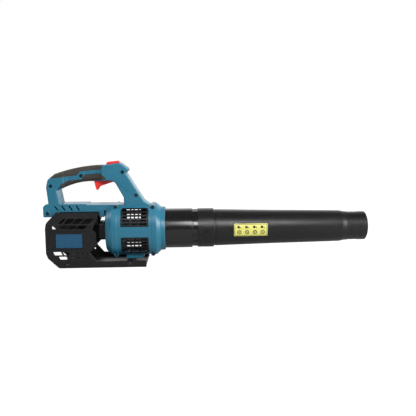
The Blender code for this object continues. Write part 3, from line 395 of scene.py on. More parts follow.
def join_rings(work, sections):
    """Adds faces through rings with the same number of points in mm, and closes both ends."""
    rings = [[work.verts.new([value * MM for value in spot]) for spot in ring] for ring in sections]
    for ring, following in zip(rings, rings[1:]):
        for i in range(len(ring)):
            j = (i + 1) % len(ring)
            work.faces.new((ring[i], ring[j], following[j], following[i]))
    work.faces.new(rings[0])
    work.faces.new(rings[-1])


def loft(sections):
    """Closed mesh through rings with the same number of points, flat at both ends."""
    mesh = empty_mesh()
    with editing(mesh) as work:
        join_rings(work, sections)
    return outwards(mesh)


def spun(name, points, location, tilt, steps, closed):
    """A line of (radius, height) points turned about its Z axis. With no name it is a tool."""
    mesh = empty_mesh()
    with editing(mesh) as work:
        verts = [work.verts.new((radius * MM, 0, height * MM)) for radius, height in points]
        following = verts[1:] + verts[:1] if closed else verts[1:]
        for a, b in zip(verts, following):
            work.edges.new((a, b))
    thing = place(name, mesh) if name else helper(mesh)
    thing.location = [value * MM for value in location]
    thing.rotation_euler = tilt
    turn = thing.modifiers.new("turn", "SCREW")
    turn.steps = turn.render_steps = steps
    turn.use_merge_vertices = True
    turn.merge_threshold = 10 * WELD
    return thing


def turned(profile, name=None):
    """A closed (x, radius) profile turned about the duct axis. With no name it is a tool."""
    if area(profile) < 0:
        profile = profile[::-1]
    points = [(radius, x) for x, radius in profile]
    return spun(name, points, (0, 0, AXIS_Z), (0, math.pi / 2, 0), ROUND, True)


def boolean(thing, tool, operation="DIFFERENCE"):
    """Cuts a tool from a thing, or joins or intersects them, with a live modifier."""
    modifier = thing.modifiers.new(operation.lower(), "BOOLEAN")
    modifier.operation = operation
    modifier.object = tool
    modifier.solver = "MANIFOLD"
    return thing


def merge_flat(thing):
    """Joins the flat faces that Booleans have left in pieces."""
    modifier = thing.modifiers.new("merge_flat", "DECIMATE")
    modifier.decimate_type = "DISSOLVE"
    modifier.angle_limit = FLAT


def cut(thing, mesh, operation="DIFFERENCE"):
    """Cuts a mesh from a thing, or joins or intersects them."""
    return boolean(thing, helper(mesh), operation)


# ---- body form

POST = [
    (-139.5, 155, 0), (-144.5, 206, 12), (-140, 226, 14), (-122, 239.5, 10),
    (-98, 244, 0), (-98, 206, 0), (-112, 205, 6), (-117.5, 199, 6),
    (-109.5, 155, 0),
]
HEAD = [
    (-3, 261, 0), (5, 262.5, 0), (45, HEAD_TOP, 6), (66, 252.5, 4.5), (65, 245.5, 4.5),
    (59.5, 242, 3), (105, 168, 6), (119, 158, 0), (119, 148, 0), (54.5, 148, 0),
    (53.5, 178, 10), (33, 215.5, 5), (24, 221.5, 5), (-3, 222, 0),
]
BEAM = [
    (REAR, 128, 3), (REAR, 155, 5), (-147, BEAM_TOP, 4), (-43, BEAM_TOP, 2),
    (-40, 159.5, 2), (46, 159.5, 0), (46, 144, 0), (3, 144, 0), (3, 127, 1.5),
    (-10, 127, 1.5), (-10, BEAM_BOTTOM, 0), (-113, BEAM_BOTTOM, 2), (-135, 128, 2),
]
FOOT = [(57, 15.4, 2), (103, 15.4, 2), (103, 40, 0), (57, 40, 0)]


def grip_top(x):
    """Height of the handle's upper line."""
    return 262.3 - 0.00139 * (x - 2) ** 2


def grip_bottom(x):
    """Height of the handle's lower line."""
    return 219.5 - 0.0031 * max(0, -30 - x) ** 2


def grip_half(x):
    """Half depth of the handle, which widens into the rear post and into the head."""
    rear = max(0, min(1, (-88 - x) / 38))
    front = max(0, min(1, (x + 22) / 34))
    ease = [t * t * (3 - 2 * t) for t in (rear, front)]
    wider = (FRAME_DEPTH - 3 - GRIP_DEPTH) * ease[0], (HEAD_DEPTH - 2 - GRIP_DEPTH) * ease[1]
    return GRIP_DEPTH + wider[0] + wider[1]


def grip_mesh(shrink):
    """The handle bar as a loft, smaller all round by a distance."""
    sections = []
    count = 64 if shrink < WALL else 16
    step = 3 if shrink < WALL else 9
    for x in range(-126, 14, step):
        top, bottom = grip_top(x), grip_bottom(x)
        half_z = (top - bottom) / 2 - shrink
        sections.append(
            superellipse(x, grip_half(x) - shrink, half_z, 3.2, (top + bottom) / 2, count)
        )
    return loft(sections)


def between(x, spots):
    """Value at x on a broken line through (x, value) spots."""
    for (x0, value0), (x1, value1) in zip(spots, spots[1:]):
        if x <= x1:
            return value0 + (value1 - value0) * max(0, x - x0) / (x1 - x0)
    return spots[-1][1]


BARREL_LINE = [
    (BARREL_REAR, 0, 0), (BARREL_REAR, 58, 11), (BARREL_REAR + 11, 63.5, 1.5),
    (BARREL_REAR + 12.3, 66, 0.8),
    (BARREL_REAR + 18, BARREL_HEIGHT, 5), (BARREL_REAR + 30, BARREL_HEIGHT, 0.6),
    (BARREL_REAR + 31, BARREL_HEIGHT - 0.7, 0.6), (SHOULDER_FRONT - 23, BARREL_HEIGHT - 0.7, 0.6),
    (SHOULDER_FRONT - 22, BARREL_HEIGHT, 0.6), (SHOULDER_FRONT - 12, BARREL_HEIGHT, 4),
    (SHOULDER_FRONT - 1.5, RING_RADIUS + 1.6, 1.2), (SHOULDER_FRONT + 1, RING_RADIUS + 0.4, 1),
    (RING_FRONT - 1.2, RING_RADIUS, 0.5), (RING_FRONT, RING_RADIUS - 1, 0.3), (RING_FRONT, 0, 0),
]
FLAT_WIDTH = BARREL_WIDTH / BARREL_HEIGHT
WIDTH_SHARE = [
    (BARREL_REAR, 0.89), (28, FLAT_WIDTH), (136, FLAT_WIDTH), (SHOULDER_FRONT, 1), (RING_FRONT, 1),
]
POWER = [
    (BARREL_REAR, 2.6), (28, BARREL_POWER), (136, BARREL_POWER), (SHOULDER_FRONT, 2),
    (RING_FRONT, 2)
]


def barrel_mesh(shrink, front):
    """The fan barrel as a loft, smaller all round by a distance, up to a place along X."""
    count = 144 if shrink < WALL else 64
    sections = []
    last = -1000
    for x, height in rounded(BARREL_LINE)[1:-1]:
        if height < 30:
            continue
        ahead = shrink * max(0, 1 - (x - BARREL_REAR) / 8)
        place_x = min(max(x + ahead, last + 0.02), front)
        if place_x <= last:
            continue
        last = place_x
        width = height * between(x, WIDTH_SHARE)
        ring = superellipse(
            place_x, width - shrink, height - shrink, between(x, POWER), AXIS_Z, count
        )
        sections.append(ring)
    return loft(sections)


def frame_slab(corners, half, shrink, edge):
    """One flat part of the handle frame, with softened edges, smaller all round by a distance."""
    half -= shrink
    mesh = slab([rounded(inset(corners, shrink))], -half, half)
    return soften(mesh, edge - shrink, half) if edge - shrink > 1 else mesh


FORMS = ((POST, POST_DEPTH, 4), (HEAD, HEAD_DEPTH, 3.5))  # outline, half depth, width of the bevel


def handle_tools(shrink):
    """The post, the head and the bar between them, smaller all round by a distance."""
    tools = [helper(frame_slab(corners, half, shrink, edge)) for corners, half, edge in FORMS]
    tools.append(helper(grip_mesh(shrink)))
    return tools


def body_tools(shrink, front):
    """The solids that together make the body's form, smaller all round by a distance."""
    tools = handle_tools(shrink)
    tools.append(helper(frame_slab(BEAM, FRAME_DEPTH, shrink, 1.6)))
    tools.append(helper(barrel_mesh(shrink, front)))
    return tools


OUTER = body_tools(0, RING_FRONT)
HOLLOW = body_tools(WALL, RING_FRONT - WALL)
PAD_BACK = handle_tools(PAD)
UNDER_PAD = handle_tools(PAD + GAP)

UPPER_PAD = [
    (-130, 229.5, 0), (-133, 262, 0), (3, 275, 0), (1, 262, 0), (-5, 251, 3),
    (-58, 246.5, 3), (-67, 236, 3), (-110, 231.5, 4),
]
LOWER_PAD = [
    (12, 226, 2), (-6, 240.5, 3), (-46, 237.5, 3), (-55, 225, 3), (-90, 222, 4),
    (-107, 212, 2), (-104, 196, 0), (-27.5, 205, 0), (-27.5, 221, 0), (-15, 223.5, 3),
]


def other_half(sign):
    """Mesh of everything that lies on the far side of the parting plane from one half."""
    near, far = sorted((sign * GAP / 2, -sign * 90))
    return block((-200, near, -20), (800, far, 320))


def body_shell(side):
    """One half of the clamshell body: form, hollow, bosses and every opening."""
    shell = place("housing_" + side, frame_slab(BEAM, FRAME_DEPTH, 0, 1.6))
    other = helper(other_half(SIDES[side]))
    openings = (WINDOWS, TRIGGER_SLOT, BUTTON_SLOT, PAD_RECESS, LEAD_HOLE)
    steps = (
        ("DIFFERENCE", (BEAM_SLOTS,)),
        ("UNION", (*OUTER[:3], OUTER[4], FOOT_FORM)),
        ("DIFFERENCE", (other, *HOLLOW, BORE)),
        ("UNION", (INNER_RIBS[side], *BOSSES[side])),
        ("DIFFERENCE", (*openings, *SCREW_HOLES[side])),
    )
    for operation, tools in steps:
        for tool in tools:
            boolean(shell, tool, operation)
    merge_flat(shell)


# ---- tools for the body

FOOT_FORM = helper(slab([rounded(FOOT)], -24, 24))
boolean(FOOT_FORM, HOLLOW[-1])
BORE = helper(rods([(0, AXIS_Z)], DUCT_RADIUS + GAP, 145, 175, "X", 36))


def inner_rib(side):
    """Half ring inside the barrel that stops the duct's flange from behind."""
    bore = DUCT_RADIUS + GAP
    profile = [(141.5, bore), (144.5, bore), (144.5, 61.5), (141.5, 63)]
    return cut(turned(profile), other_half(SIDES[side]))


INNER_RIBS = {side_name: inner_rib(side_name) for side_name in SIDES}


def windows():
    """The four inlet windows, two on each side."""
    rear, front = WINDOW_X
    low, high = AXIS_Z + WINDOW_Z[0], AXIS_Z + WINDOW_Z[1]
    upper = [(rear, low, 2), (front, low, 2), (front, high - 5, 1), (front - 5, high, 1),
             (rear + 5, high, 1), (rear, high - 5, 1)]
    lower = [(x, 2 * AXIS_Z - z, radius) for x, z, radius in upper]
    return helper(slab([rounded(upper), rounded(lower)], -80, 80))


WINDOWS = windows()
TRIGGER_SLOT = helper(block((-27, -8, 205), (31.5, 8, 226)))
BUTTON_SLOT = helper(block((6.9, -9.5, 255), (43.6, 9.5, 280)))
LEAD_HOLE = helper(block((-42, -6, 130), (-30, 6, 150)))


def beam_slots():
    """Four slanted slots through each side of the beam."""
    outlines = []
    for i in range(4):
        x = -126 + 18.4 * i
        outlines.append([(x, 158), (x + 4.2, 158), (x + 12.2, 145.5), (x + 8, 145.5)])
    return helper(slab(outlines, -60, 60))


BEAM_SLOTS = beam_slots()


def pad_recess():
    """What the grip pads take out of the handle's surface."""
    outlines = [rounded(inset(UPPER_PAD, -GAP)), rounded(inset(LOWER_PAD, -GAP))]
    recess = helper(slab(outlines, -60, 60))
    for under in UNDER_PAD:
        boolean(recess, under)
    return recess


PAD_RECESS = pad_recess()


def screw_tools(side):
    """Bosses and holes for the screws that draw the two halves together."""
    sign = SIDES[side]
    bosses, holes = [], []
    for x, z, face in BODY_SCREWS:
        seat = sign * (face - HEAD_DOWN)
        ends = span(sign, GAP / 2 + 0.1, face - 2)
        bosses.append(helper(rods([(x, z)], BOSS, *ends, sides=12)))
        if side == "right":
            holes.append(helper(rods([(x, z)], SCREW_SHANK + GAP, seat - 1, 1, sides=8)))
            holes.append(helper(rods([(x, z)], COUNTERBORE, -face - 30, seat, sides=12)))
        else:
            holes.append(helper(rods([(x, z)], SCREW_SHANK + GAP, -1, 14, sides=8)))
    return bosses, holes


def inner_supports(side):
    """Seats inside one half for trigger pin, switch and control board, and the pin's hole."""
    sign = SIDES[side]
    ends = span(sign, 8.5, HEAD_DEPTH - 1)
    pin = helper(rods([TRIGGER_PIVOT], 4.2, *ends, sides=12))
    rest = helper(block((28, ends[0], 239), (36, ends[1], 250)))
    ends = span(sign, 20, 27)
    posts = []
    for z in (66, 112):
        posts.append(helper(block((7.5, ends[0], z), (17.5, ends[1], z + 5))))
    ends = span(sign, 4, 22.3)
    hole = helper(rods([TRIGGER_PIVOT], PIN_BORE, *ends, sides=12))
    return (pin, rest, *posts), hole


BOSSES, SCREW_HOLES = {}, {}
for side_name in SIDES:
    side_bosses, side_holes = screw_tools(side_name)
    supports, pin_hole = inner_supports(side_name)
    BOSSES[side_name] = (*side_bosses, *supports)
    SCREW_HOLES[side_name] = (*side_holes, pin_hole)
    body_shell(side_name)


def screw(name, x, z, face_y, length, sign=-1):
    """A pan-head screw with a cross recess, its head towards -Y, or +Y when sign is positive."""
    head_line = [
        (SCREW_HEAD, 0, 0.1), (SCREW_HEAD, 1.7, 0.7), (SCREW_HEAD - 1, 2.4, 0.9), (0, 2.4, 0)
    ]
    shank = [
        (0, -length, 0), (SCREW_SHANK - 0.8, -length, 0), (SCREW_SHANK, -length + 2, 0),
        (SCREW_SHANK, 0, 0)
    ]
    points = rounded(shank + head_line)[::-1]
    tilt = (-sign * math.pi / 2, 0, 0)
    thing = spun(name, points, (x, face_y, z), tilt, 40, False)
    ends = sorted((face_y + sign * 1, face_y + sign * 4))
    for across, up in ((2.3, 0.45), (0.45, 2.3)):
        cut(thing, block((x - across, ends[0], z - up), (x + across, ends[1], z + up)))


for number, (screw_x, screw_z, screw_face) in enumerate(BODY_SCREWS, 1):
    head_y = -(screw_face - HEAD_DOWN) - GAP
    screw("body_screw_%d" % number, screw_x, screw_z, head_y, -head_y + 11)


# ---- grip pads


def grip_pad(name, corners, side):
    """Rubber skin of the handle on one half."""
    keep = helper(slab([rounded(corners)], *span(SIDES[side], GAP / 2, 60)))
    pad = place(name + "_" + side, frame_slab(POST, POST_DEPTH, 0, 4))
    for operation, tools in (
        ("UNION", OUTER[1:3]), ("INTERSECT", (keep,)), ("DIFFERENCE", (*PAD_BACK, TRIGGER_SLOT))
    ):
        for tool in tools:
            boolean(pad, tool, operation)
    merge_flat(pad)


for side_name in SIDES:
    grip_pad("upper_grip", UPPER_PAD, side_name)
    grip_pad("lower_grip", LOWER_PAD, side_name)


# ---- controls


def trigger():
    """Trigger with its pivot bore, a thumb-wide front and softened sides."""
    outline = [
        (-24, 231, 1.5), (-24.5, 217, 6), (-19.5, 196.5, 1.4), (-15.5, 196, 1.4), (-10, 205.5, 8),
        (9, 212, 10), (28, 218, 2), (29.5, 226, 4), (26, 231, 3),
    ]
    mesh = slab([rounded(outline)], -TRIGGER_HALF, TRIGGER_HALF)
    part = place("trigger", soften(mesh, 1.6, TRIGGER_HALF))
    cut(part, rods([TRIGGER_PIVOT], PIN_BORE, -20, 20))


def top_button():
    """Boost button, with five ridges for the thumb."""
    outline = [
        (7.7, 257.5, 0.8), (42.8, 257.5, 0.8), (42.8, 270.5, 1.8), (41, 273, 1.8), (12, 270, 3),
        (7.7, 264.5, 1.5),
    ]
    mesh = slab([rounded(outline)], -BUTTON_HALF, BUTTON_HALF)
    part = place("top_button", soften(mesh, 1.4, BUTTON_HALF))
    for i in range(5):
        x = 18 + 4.4 * i
        cut(part, rods([(x, 271.6 + 0.1 * (x - 18))], 1.2, -6.5, 6.5, sides=16))


trigger()
top_button()


# ---- guards and skid

GUARD = [
    (-112, 150, 0), (-130, 129, 6), (-140, 118, 8), (-143, 104, 8), (-143, 38, 8),
    (-138, 25, 8), (-117, 6, 6), (-110, 0, 4), (SKID_END, 0, 1), (SKID_END, RAIL_TOP, 1),
    (-14, RAIL_TOP, 3), (-33, 38.5, 2), (-27, 45, 3), (-15.5, 56, 4), (-15.5, 90, 4),
    (-24.5, 99, 3), (-13, 127, 2), (-13, 150, 0),
]
RIB_SLOPE = 0.95  # how far a rib leans, along X for each mm of height
SLOT_CORNER = 1.2
PIPS_X = (-100, -39)


def leaning(low_x, high_x, low_z, high_z, lean):
    """Parallelogram between two heights, given by its lower edge."""
    shift = lean * (high_z - low_z)
    corner = SLOT_CORNER
    return [
        (low_x, low_z, corner), (high_x, low_z, corner), (high_x + shift, high_z, corner),
        (low_x + shift, high_z, corner),
    ]


def guard_slots():
    """Every opening through the sides of the guard."""
    outlines = [
        [(-125, 101.5, 1), (-114.5, 101.5, 1), (-125, 111, 1)],
        [(-112, 113.5, 1), (-103, 113.5, 1), (-91, 126.5, 1), (-100, 126.5, 1)],
    ]
    for i in range(3):
        wider = 3 * (i == 2)
        outlines.append(leaning(-111 + 22 * i, -92 + 22 * i + wider, 101, 110.5, RIB_SLOPE))
        outlines.append(leaning(-99 + 22 * i, -80 + 22 * i + wider, 113.5, 126.5, RIB_SLOPE))
    outlines += [
        leaning(-121, -101, 33.5, 42.5, -0.5), leaning(-97, -82, 33.5, 42.5, -0.5),
        leaning(-107.5, -88, 22, 30, -0.5),
    ]
    for i in range(4):
        outlines.append(box_corners(-76 + 11.6 * i, 35.5, -72 + 11.6 * i, 40, 1.9))
        outlines.append(box_corners(-76 + 11.6 * i, 24, -72 + 11.6 * i, 28.5, 1.9))
    return helper(slab([rounded(points, 3) for points in outlines], -90, 90))


def guard(side):
    """Side guard of the battery bay, bent out from the beam, with the skid rail at its foot."""
    sign = SIDES[side]
    inner = GUARD_OUT - GUARD_WALL
    section = [
        (29, 140.7, 0.5), (40, 140.7, 3), (GUARD_OUT, 113, 4), (GUARD_OUT, 14, 0.5),
        (RAIL_OUT, 13, 0.5),
        (RAIL_OUT, -10, 0), (inner, -10, 0), (inner, 111.8, 2), (38.4, 137.3, 1),
        (29, 137.3, 0.5),
    ]
    outline = [(sign * y, z) for y, z in rounded(section)]
    part = place("guard_" + side, slab([outline], -160, 130, "YZ"))
    cut(part, slab([rounded(GUARD)], -80, 80), "INTERSECT")
    panel = [(-136, 96, 4), (-136, 48, 4), (-20, 48, 4), (-20, 92, 4), (-27, 96, 4)]
    low, high = span(sign, GUARD_OUT, GUARD_OUT - 0.7)
    groove, middle = (
        helper(slab([rounded(inset(panel, edge))], low - 0.1, high + 0.1)) for edge in (0, 1.6)
    )
    boolean(groove, middle)
    for tool in (BEAM_CLEARANCE, GUARD_SLOTS, groove):
        boolean(part, tool)
    for x in PIPS_X:
        cut(part, ball((x, sign * 48.6, 128.6), 2.3, 24), "UNION")
    cut(part, rods(GUARD_SCREWS, 2.2, *span(sign, 50, 80)))
    cut(part, rods(GUARD_SCREWS, COUNTERBORE, *span(sign, GUARD_SEAT, 80)))


def skid_base():
    """Plate between the rails, with a hollow bar at each pair of screws and long grooves below."""
    half = GUARD_OUT - GUARD_WALL - GAP
    corners = box_corners(-108, 0, SKID_END - 1, 3.2, 0.8)
    part = place("skid_base", slab([rounded(corners)], -half, half))
    for x, _ in GUARD_SCREWS:
        bar = rounded([(x - 9, 1, 0), (x + 9, 1, 0), (x + 9, 15.1, 1.5), (x - 9, 15.1, 1.5)])
        cut(part, slab([bar], -half, half), "UNION")
        cut(part, block((x - 6, 20 - half, 4), (x + 6, half - 20, 12.1)))
    for i in range(4):
        y = (i - 1.5) * 26
        if abs(y) > 8:
            cut(part, block((-96, y - 3, -1), (100, y + 3, 0.8)))
    cut(part, rods(GUARD_SCREWS, SCREW_SHANK + GAP, -80, 80))


def battery_stop():
    """Cushioned block on the barrel's rear face that the battery's front comes up against."""
    rear, front = STOP_X
    corners = box_corners(-26, 65, 26, 112, 8)
    part = place("battery_stop", slab([rounded(corners)], rear, front, "YZ"))
    cut(part, slab([rounded(inset(corners, 5))], rear - 2, rear + 2, "YZ"), "UNION")
    for i in range(4):
        z = 74.5 + 9.4 * i
        cut(part, block((rear - 4, -17, z), (rear - 1, 17, z + 2.6)))


def badge(side):
    """Blank plate on the side of the guard, with a raised plain border."""
    sign = SIDES[side]
    near, far = span(sign, GUARD_OUT + GAP, GUARD_OUT + 1.4)
    corners = box_corners(-116, 53, -50, 88.5, 2)
    part = place("badge_" + side, slab([rounded(corners)], near, far))
    near, far = span(sign, GUARD_OUT + 1, GUARD_OUT + 3)
    cut(part, slab([rounded(inset(corners, 2))], near, far))


GUARD_SLOTS = guard_slots()
BEAM_CLEARANCE = helper(frame_slab(BEAM, FRAME_DEPTH, -GAP, 0))
for side_name, side_sign in SIDES.items():
    guard(side_name)
    badge(side_name)
    for number, (screw_x, screw_z) in enumerate(GUARD_SCREWS, 1):
        screw_name = "guard_screw_%s_%d" % (side_name, number)
        screw(screw_name, screw_x, screw_z, side_sign * (GUARD_SEAT + GAP), 14, side_sign)
skid_base()
battery_stop()


# ---- inlet grilles


def grille(side, level):
    """Curved grille that fills one inlet window: a raised rim and three columns of five slots."""
    name = "inlet_grille_%s_%s" % (level, side)
    up = 1 if level == "upper" else -1
    low, high = WINDOW_Z
    first, last = WINDOW_X
    part = place(name, barrel_mesh(1.4, RING_FRONT))
    ends = span(SIDES[side], 20, 80)
    outline = [
        (first + GAP, AXIS_Z + up * (low + GAP), 2), (last - GAP, AXIS_Z + up * (low + GAP), 2),
        (last - GAP, AXIS_Z + up * (high - 5.2), 1), (last - 5.2, AXIS_Z + up * (high - GAP), 1),
        (first + 5.2, AXIS_Z + up * (high - GAP), 1), (first + GAP, AXIS_Z + up * (high - 5.2), 1),
    ]
    slots = []
    for start, end in ((52, 71), (74.5, 91.5), (95, 113.5)):
        for row in range(5):
            base = AXIS_Z + up * (low + 5 + 8.3 * row)
            bottom, top = sorted((base, base + up * 4.6))
            slots.append(rounded(box_corners(start, bottom, end, top, 1.2), 3))
    cut(part, slab([rounded(outline)], *ends), "INTERSECT")
    boolean(part, GRILLE_BACK)
    field = helper(barrel_mesh(0.4, RING_FRONT))
    cut(field, slab([rounded(inset(outline, 3.2))], *ends), "INTERSECT")
    boolean(field, GRILLE_FIELD)
    boolean(part, field)
    cut(part, slab(slots, -90, 90))


GRILLE_BACK = helper(barrel_mesh(4.2, RING_FRONT))
GRILLE_FIELD = helper(barrel_mesh(2.3, RING_FRONT))
for side_name in SIDES:
    grille(side_name, "upper")
    grille(side_name, "lower")


# ---- duct and nozzle


def tube_radius(x):
    """Outer radius of the nozzle tube."""
    share = (x - COLLAR_END) / (SHOULDER_START - COLLAR_END)
    return 49.3 - 7.1 * share - 0.9 * math.sin(math.pi * share) ** 2 * (1 - share)


def fan_duct():
    """Duct round the fan, with a bell mouth behind it and the ribbed neck the nozzle slides on."""
    flange = RING_RADIUS - 3.6
    corners = [
        (DUCT_REAR, DUCT_BORE + 3.2, 1), (145, DUCT_RADIUS - 0.6, 0), (145, flange, 0.3),
        (148, flange, 0.3), (148, DUCT_RADIUS, 0), (DUCT_STEP, DUCT_RADIUS, 1.4),
        (DUCT_STEP, NECK_RADIUS, 0.3), (NECK_END, NECK_RADIUS, 0.8), (NECK_END, NECK_RADIUS - 3, 0.5),
        (DUCT_STEP + 4, NECK_RADIUS - 3, 2), (DUCT_STEP, DUCT_BORE, 2), (DUCT_REAR + 7, DUCT_BORE, 6),
        (DUCT_REAR, DUCT_BORE + 2.2, 0.6),
    ]
    part = turned(rounded(corners, 5), "fan_duct")
    for i in range(14):
        spine = block(
            (DUCT_STEP - 0.5, NECK_RADIUS - 1, -0.9), (COLLAR_START - 1, NECK_RADIUS + 1.3, 0.9)
        )
        turn = Matrix.Rotation(2 * math.pi * (i + 0.5) / 14, 4, "X")
        spine.transform(Matrix.Translation((0, 0, AXIS_Z * MM)) @ turn)
        cut(part, spine, "UNION")


def nozzle_tube():
    """Long tapered tube with its collar and tab, the button's seat, a line and a label rim."""
    bore = NECK_RADIUS + GAP
    corners = [
        (COLLAR_START, COLLAR_RADIUS, 1), (COLLAR_END, COLLAR_RADIUS, 1),
        (COLLAR_END + 0.6, 48.6, 0.5),
        (COLLAR_END + 4, 48.6, 0.5), (COLLAR_END + 4.6, tube_radius(COLLAR_END + 5), 0.6),
    ]
    corners += [(x, tube_radius(x), 0) for x in range(300, int(SHOULDER_START) - 8, 12)]
    corners += [
        (SHOULDER_START, tube_radius(SHOULDER_START), 30), (TIP_START - 9, 39.6, 10),
        (TIP_START, TIP_RADIUS + 0.3, 1), (TIP_START, TIP_RADIUS - 2, 0.3),
        (SHOULDER_START - 4, 42.2 - TUBE_WALL, 6),
    ]
    corners += [(x, tube_radius(x) - TUBE_WALL, 0) for x in range(620, 296, -54)]
    corners += [(NECK_END + 4, 46.6, 0.5), (NECK_END + 2, bore, 0.5), (COLLAR_START, bore, 0.5)]
    part = turned(rounded(corners, 5), "nozzle_tube")
    boolean(part, RELEASE_POCKET)
    tab = block((COLLAR_START - 0.5, -COLLAR_RADIUS - 1, 86), (COLLAR_START + 18, -46, 114))
    inner, outer = COLLAR_RADIUS - 1.2, COLLAR_RADIUS + 0.9
    rear, front = COLLAR_START - 1, COLLAR_START + 20
    shell = turned([(rear, inner), (rear, outer), (front, outer), (front, inner)])
    cut(shell, tab, "INTERSECT")
    boolean(part, shell, "UNION")
    seat = helper(radial(11.2, COLLAR_RADIUS - 1, COLLAR_RADIUS + 0.9, 48))
    cut(seat, radial(9, 40, 60, 48))
    boolean(part, seat, "UNION")
    line = turned([(302, 47.6), (302, tube_radius(302) + 0.7), (452, tube_radius(452) + 0.5),
                   (452, 44)])
    cut(line, block((300, -40, 126.6), (454, -20, 128.4)), "INTERSECT")
    boolean(part, line, "UNION")
    rim = turned([(339, 46), (339, tube_radius(339) + 0.8), (434, tube_radius(434) + 0.8),
                  (434, 44)])
    outline = box_corners(338, 71.5, 434.5, 109.5, 3)
    cut(rim, slab([rounded(outline)], -60, -20), "INTERSECT")
    cut(rim, slab([rounded(inset(outline, 1.7))], -80, -10))
    boolean(part, rim, "UNION")


def radial(radius, low, high, sides=48):
    """Mesh of a cylinder out of the collar's right side, at the release button's angle."""
    mesh = rods([(0, 0)], radius, low, high, "Z", sides)
    turn = Matrix.Rotation(math.pi / 2 + RELEASE_ANGLE, 4, "X")
    mesh.transform(Matrix.Translation((RELEASE_X * MM, 0, AXIS_Z * MM)) @ turn)
    return mesh


def nozzle_tip():
    """Narrow outlet that is pressed into the tube's end, with a raised band and a rounded lip."""
    outer = TIP_RADIUS
    corners = [
        (TIP_START + GAP, outer - 0.3, 0.2), (TIP_END - 19.5, outer - 0.6, 0.2),
        (TIP_END - 19, outer, 0.2),
        (TIP_END, outer, 1.4), (TIP_END, outer - 3.2, 1.4), (TIP_START + GAP, outer - 3.2, 0.2),
    ]
    turned(rounded(corners, 5), "nozzle_tip")


def release_button():
    """Button on the collar that frees the nozzle, slightly dished."""
    part = place("release_button", radial(8.2, COLLAR_RADIUS - 0.1, COLLAR_RADIUS + 1.9))
    radius = 24
    out = COLLAR_RADIUS + 1.2 + radius
    middle = (RELEASE_X, -out * math.cos(RELEASE_ANGLE), AXIS_Z - out * math.sin(RELEASE_ANGLE))
    cut(part, ball(middle, radius, 48))


def label_skin(name, low, high, outlines):
    """A thin skin between two heights above the nozzle, where the label is, cut to outlines."""
    first, last = LABEL_X
    profile = [(first, tube_radius(first) + low), (last, tube_radius(last) + low),
               (last, tube_radius(last) + high), (first, tube_radius(first) + high)]
    return cut(turned(profile, name), slab(outlines, -60, -20), "INTERSECT")


def label_plate():
    """Label on the right side of the nozzle, curved to its surface."""
    corners = box_corners(LABEL_X[0] + 0.5, 74, LABEL_X[1] - 0.5, 107, 2)
    label_skin("label_plate", 0.3, 1, [rounded(corners)])


def ring_outline(x, z, radius):
    """Points of a circle."""
    turns = [i * math.pi / 12 for i in range(24)]
    return [(x + radius * math.cos(turn), z + radius * math.sin(turn)) for turn in turns]


def label_marks():
    """Plain dark bars and rings on the label, in two rows of four."""
    outlines = [box_corners(343, 75.6, 429, 105.4, 1.5), box_corners(344, 76.6, 428, 104.4, 1.2)]
    outlines = [rounded(corners, 3) for corners in outlines]
    for i in range(4):
        x = 355.5 + 20.6 * i
        outlines.append(rounded(box_corners(x - 5, 95, x + 1.5, 101, 0.8), 3))
        outlines.append(rounded(box_corners(x + 3, 95, x + 5, 98, 0.5), 3))
        outlines += [
            ring_outline(x, 84.5, 5.6), ring_outline(x, 84.5, 3.6), ring_outline(x, 84.5, 1.5)
        ]
    part = label_skin("label_marks", 0.9, 1.14, outlines)
    part["slot"], part["body"] = "nozzle_black", "nozzle"


RELEASE_POCKET = helper(radial(8.6, COLLAR_RADIUS - 1.6, 60))
fan_duct()
nozzle_tube()
nozzle_tip()
release_button()
label_plate()
label_marks()


# ---- fan


def blades(count, root, tip, start, end, twist, thickness):
    """Mesh of thin twisted blades round the duct axis, from a root radius to a tip radius."""
    mesh = empty_mesh()
    across_blade = [(0, 0)]
    across_blade += [(i / 6, -0.5 * math.sin(math.pi * (i / 6) ** 0.7)) for i in range(1, 6)]
    across_blade += [(1, 0)]
    across_blade += [(i / 6, 0.5 * math.sin(math.pi * (i / 6) ** 0.7)) for i in range(5, 0, -1)]
    with editing(mesh) as work:
        for i in range(count):
            rings = []
            for step in range(9):
                share = step / 8
                radius = root + (tip - root) * share
                lean = twist * (1 - 0.35 * share)
                ring = []
                for along, across in across_blade:
                    swirl = 2 * math.pi * i / count + lean * (along - 0.5)
                    swirl += across * thickness / radius
                    x = start + (end - start) * along
                    ring.append((x, radius * math.cos(swirl), AXIS_Z + radius * math.sin(swirl)))
                rings.append(ring)
            join_rings(work, rings)
        bmesh.ops.recalc_face_normals(work, faces=work.faces)
    return mesh


def impeller():
    """Axial fan: a rounded cup hub and its blades."""
    first, last = FAN_X
    corners = [
        (first - 6, 8, 1.5), (first - 2, 15, 5), (first + 3, HUB_RADIUS, 3),
        (last, HUB_RADIUS, 0.5),
        (last, HUB_RADIUS - 2.5, 0.5), (first + 5, HUB_RADIUS - 3, 2), (first + 1, 5, 1),
        (first + 12, 5, 0.5), (first + 12, 2.8, 0.2), (first - 3, 2.8, 0.2), (first - 6, 5, 0.5),
    ]
    part = turned(rounded(corners, 5), "fan_impeller")
    cut(
        part, blades(BLADES, HUB_RADIUS - 1.5, DUCT_BORE - 1, first + 3.5, last - 1, 0.75, 2.6),
        "UNION"
    )


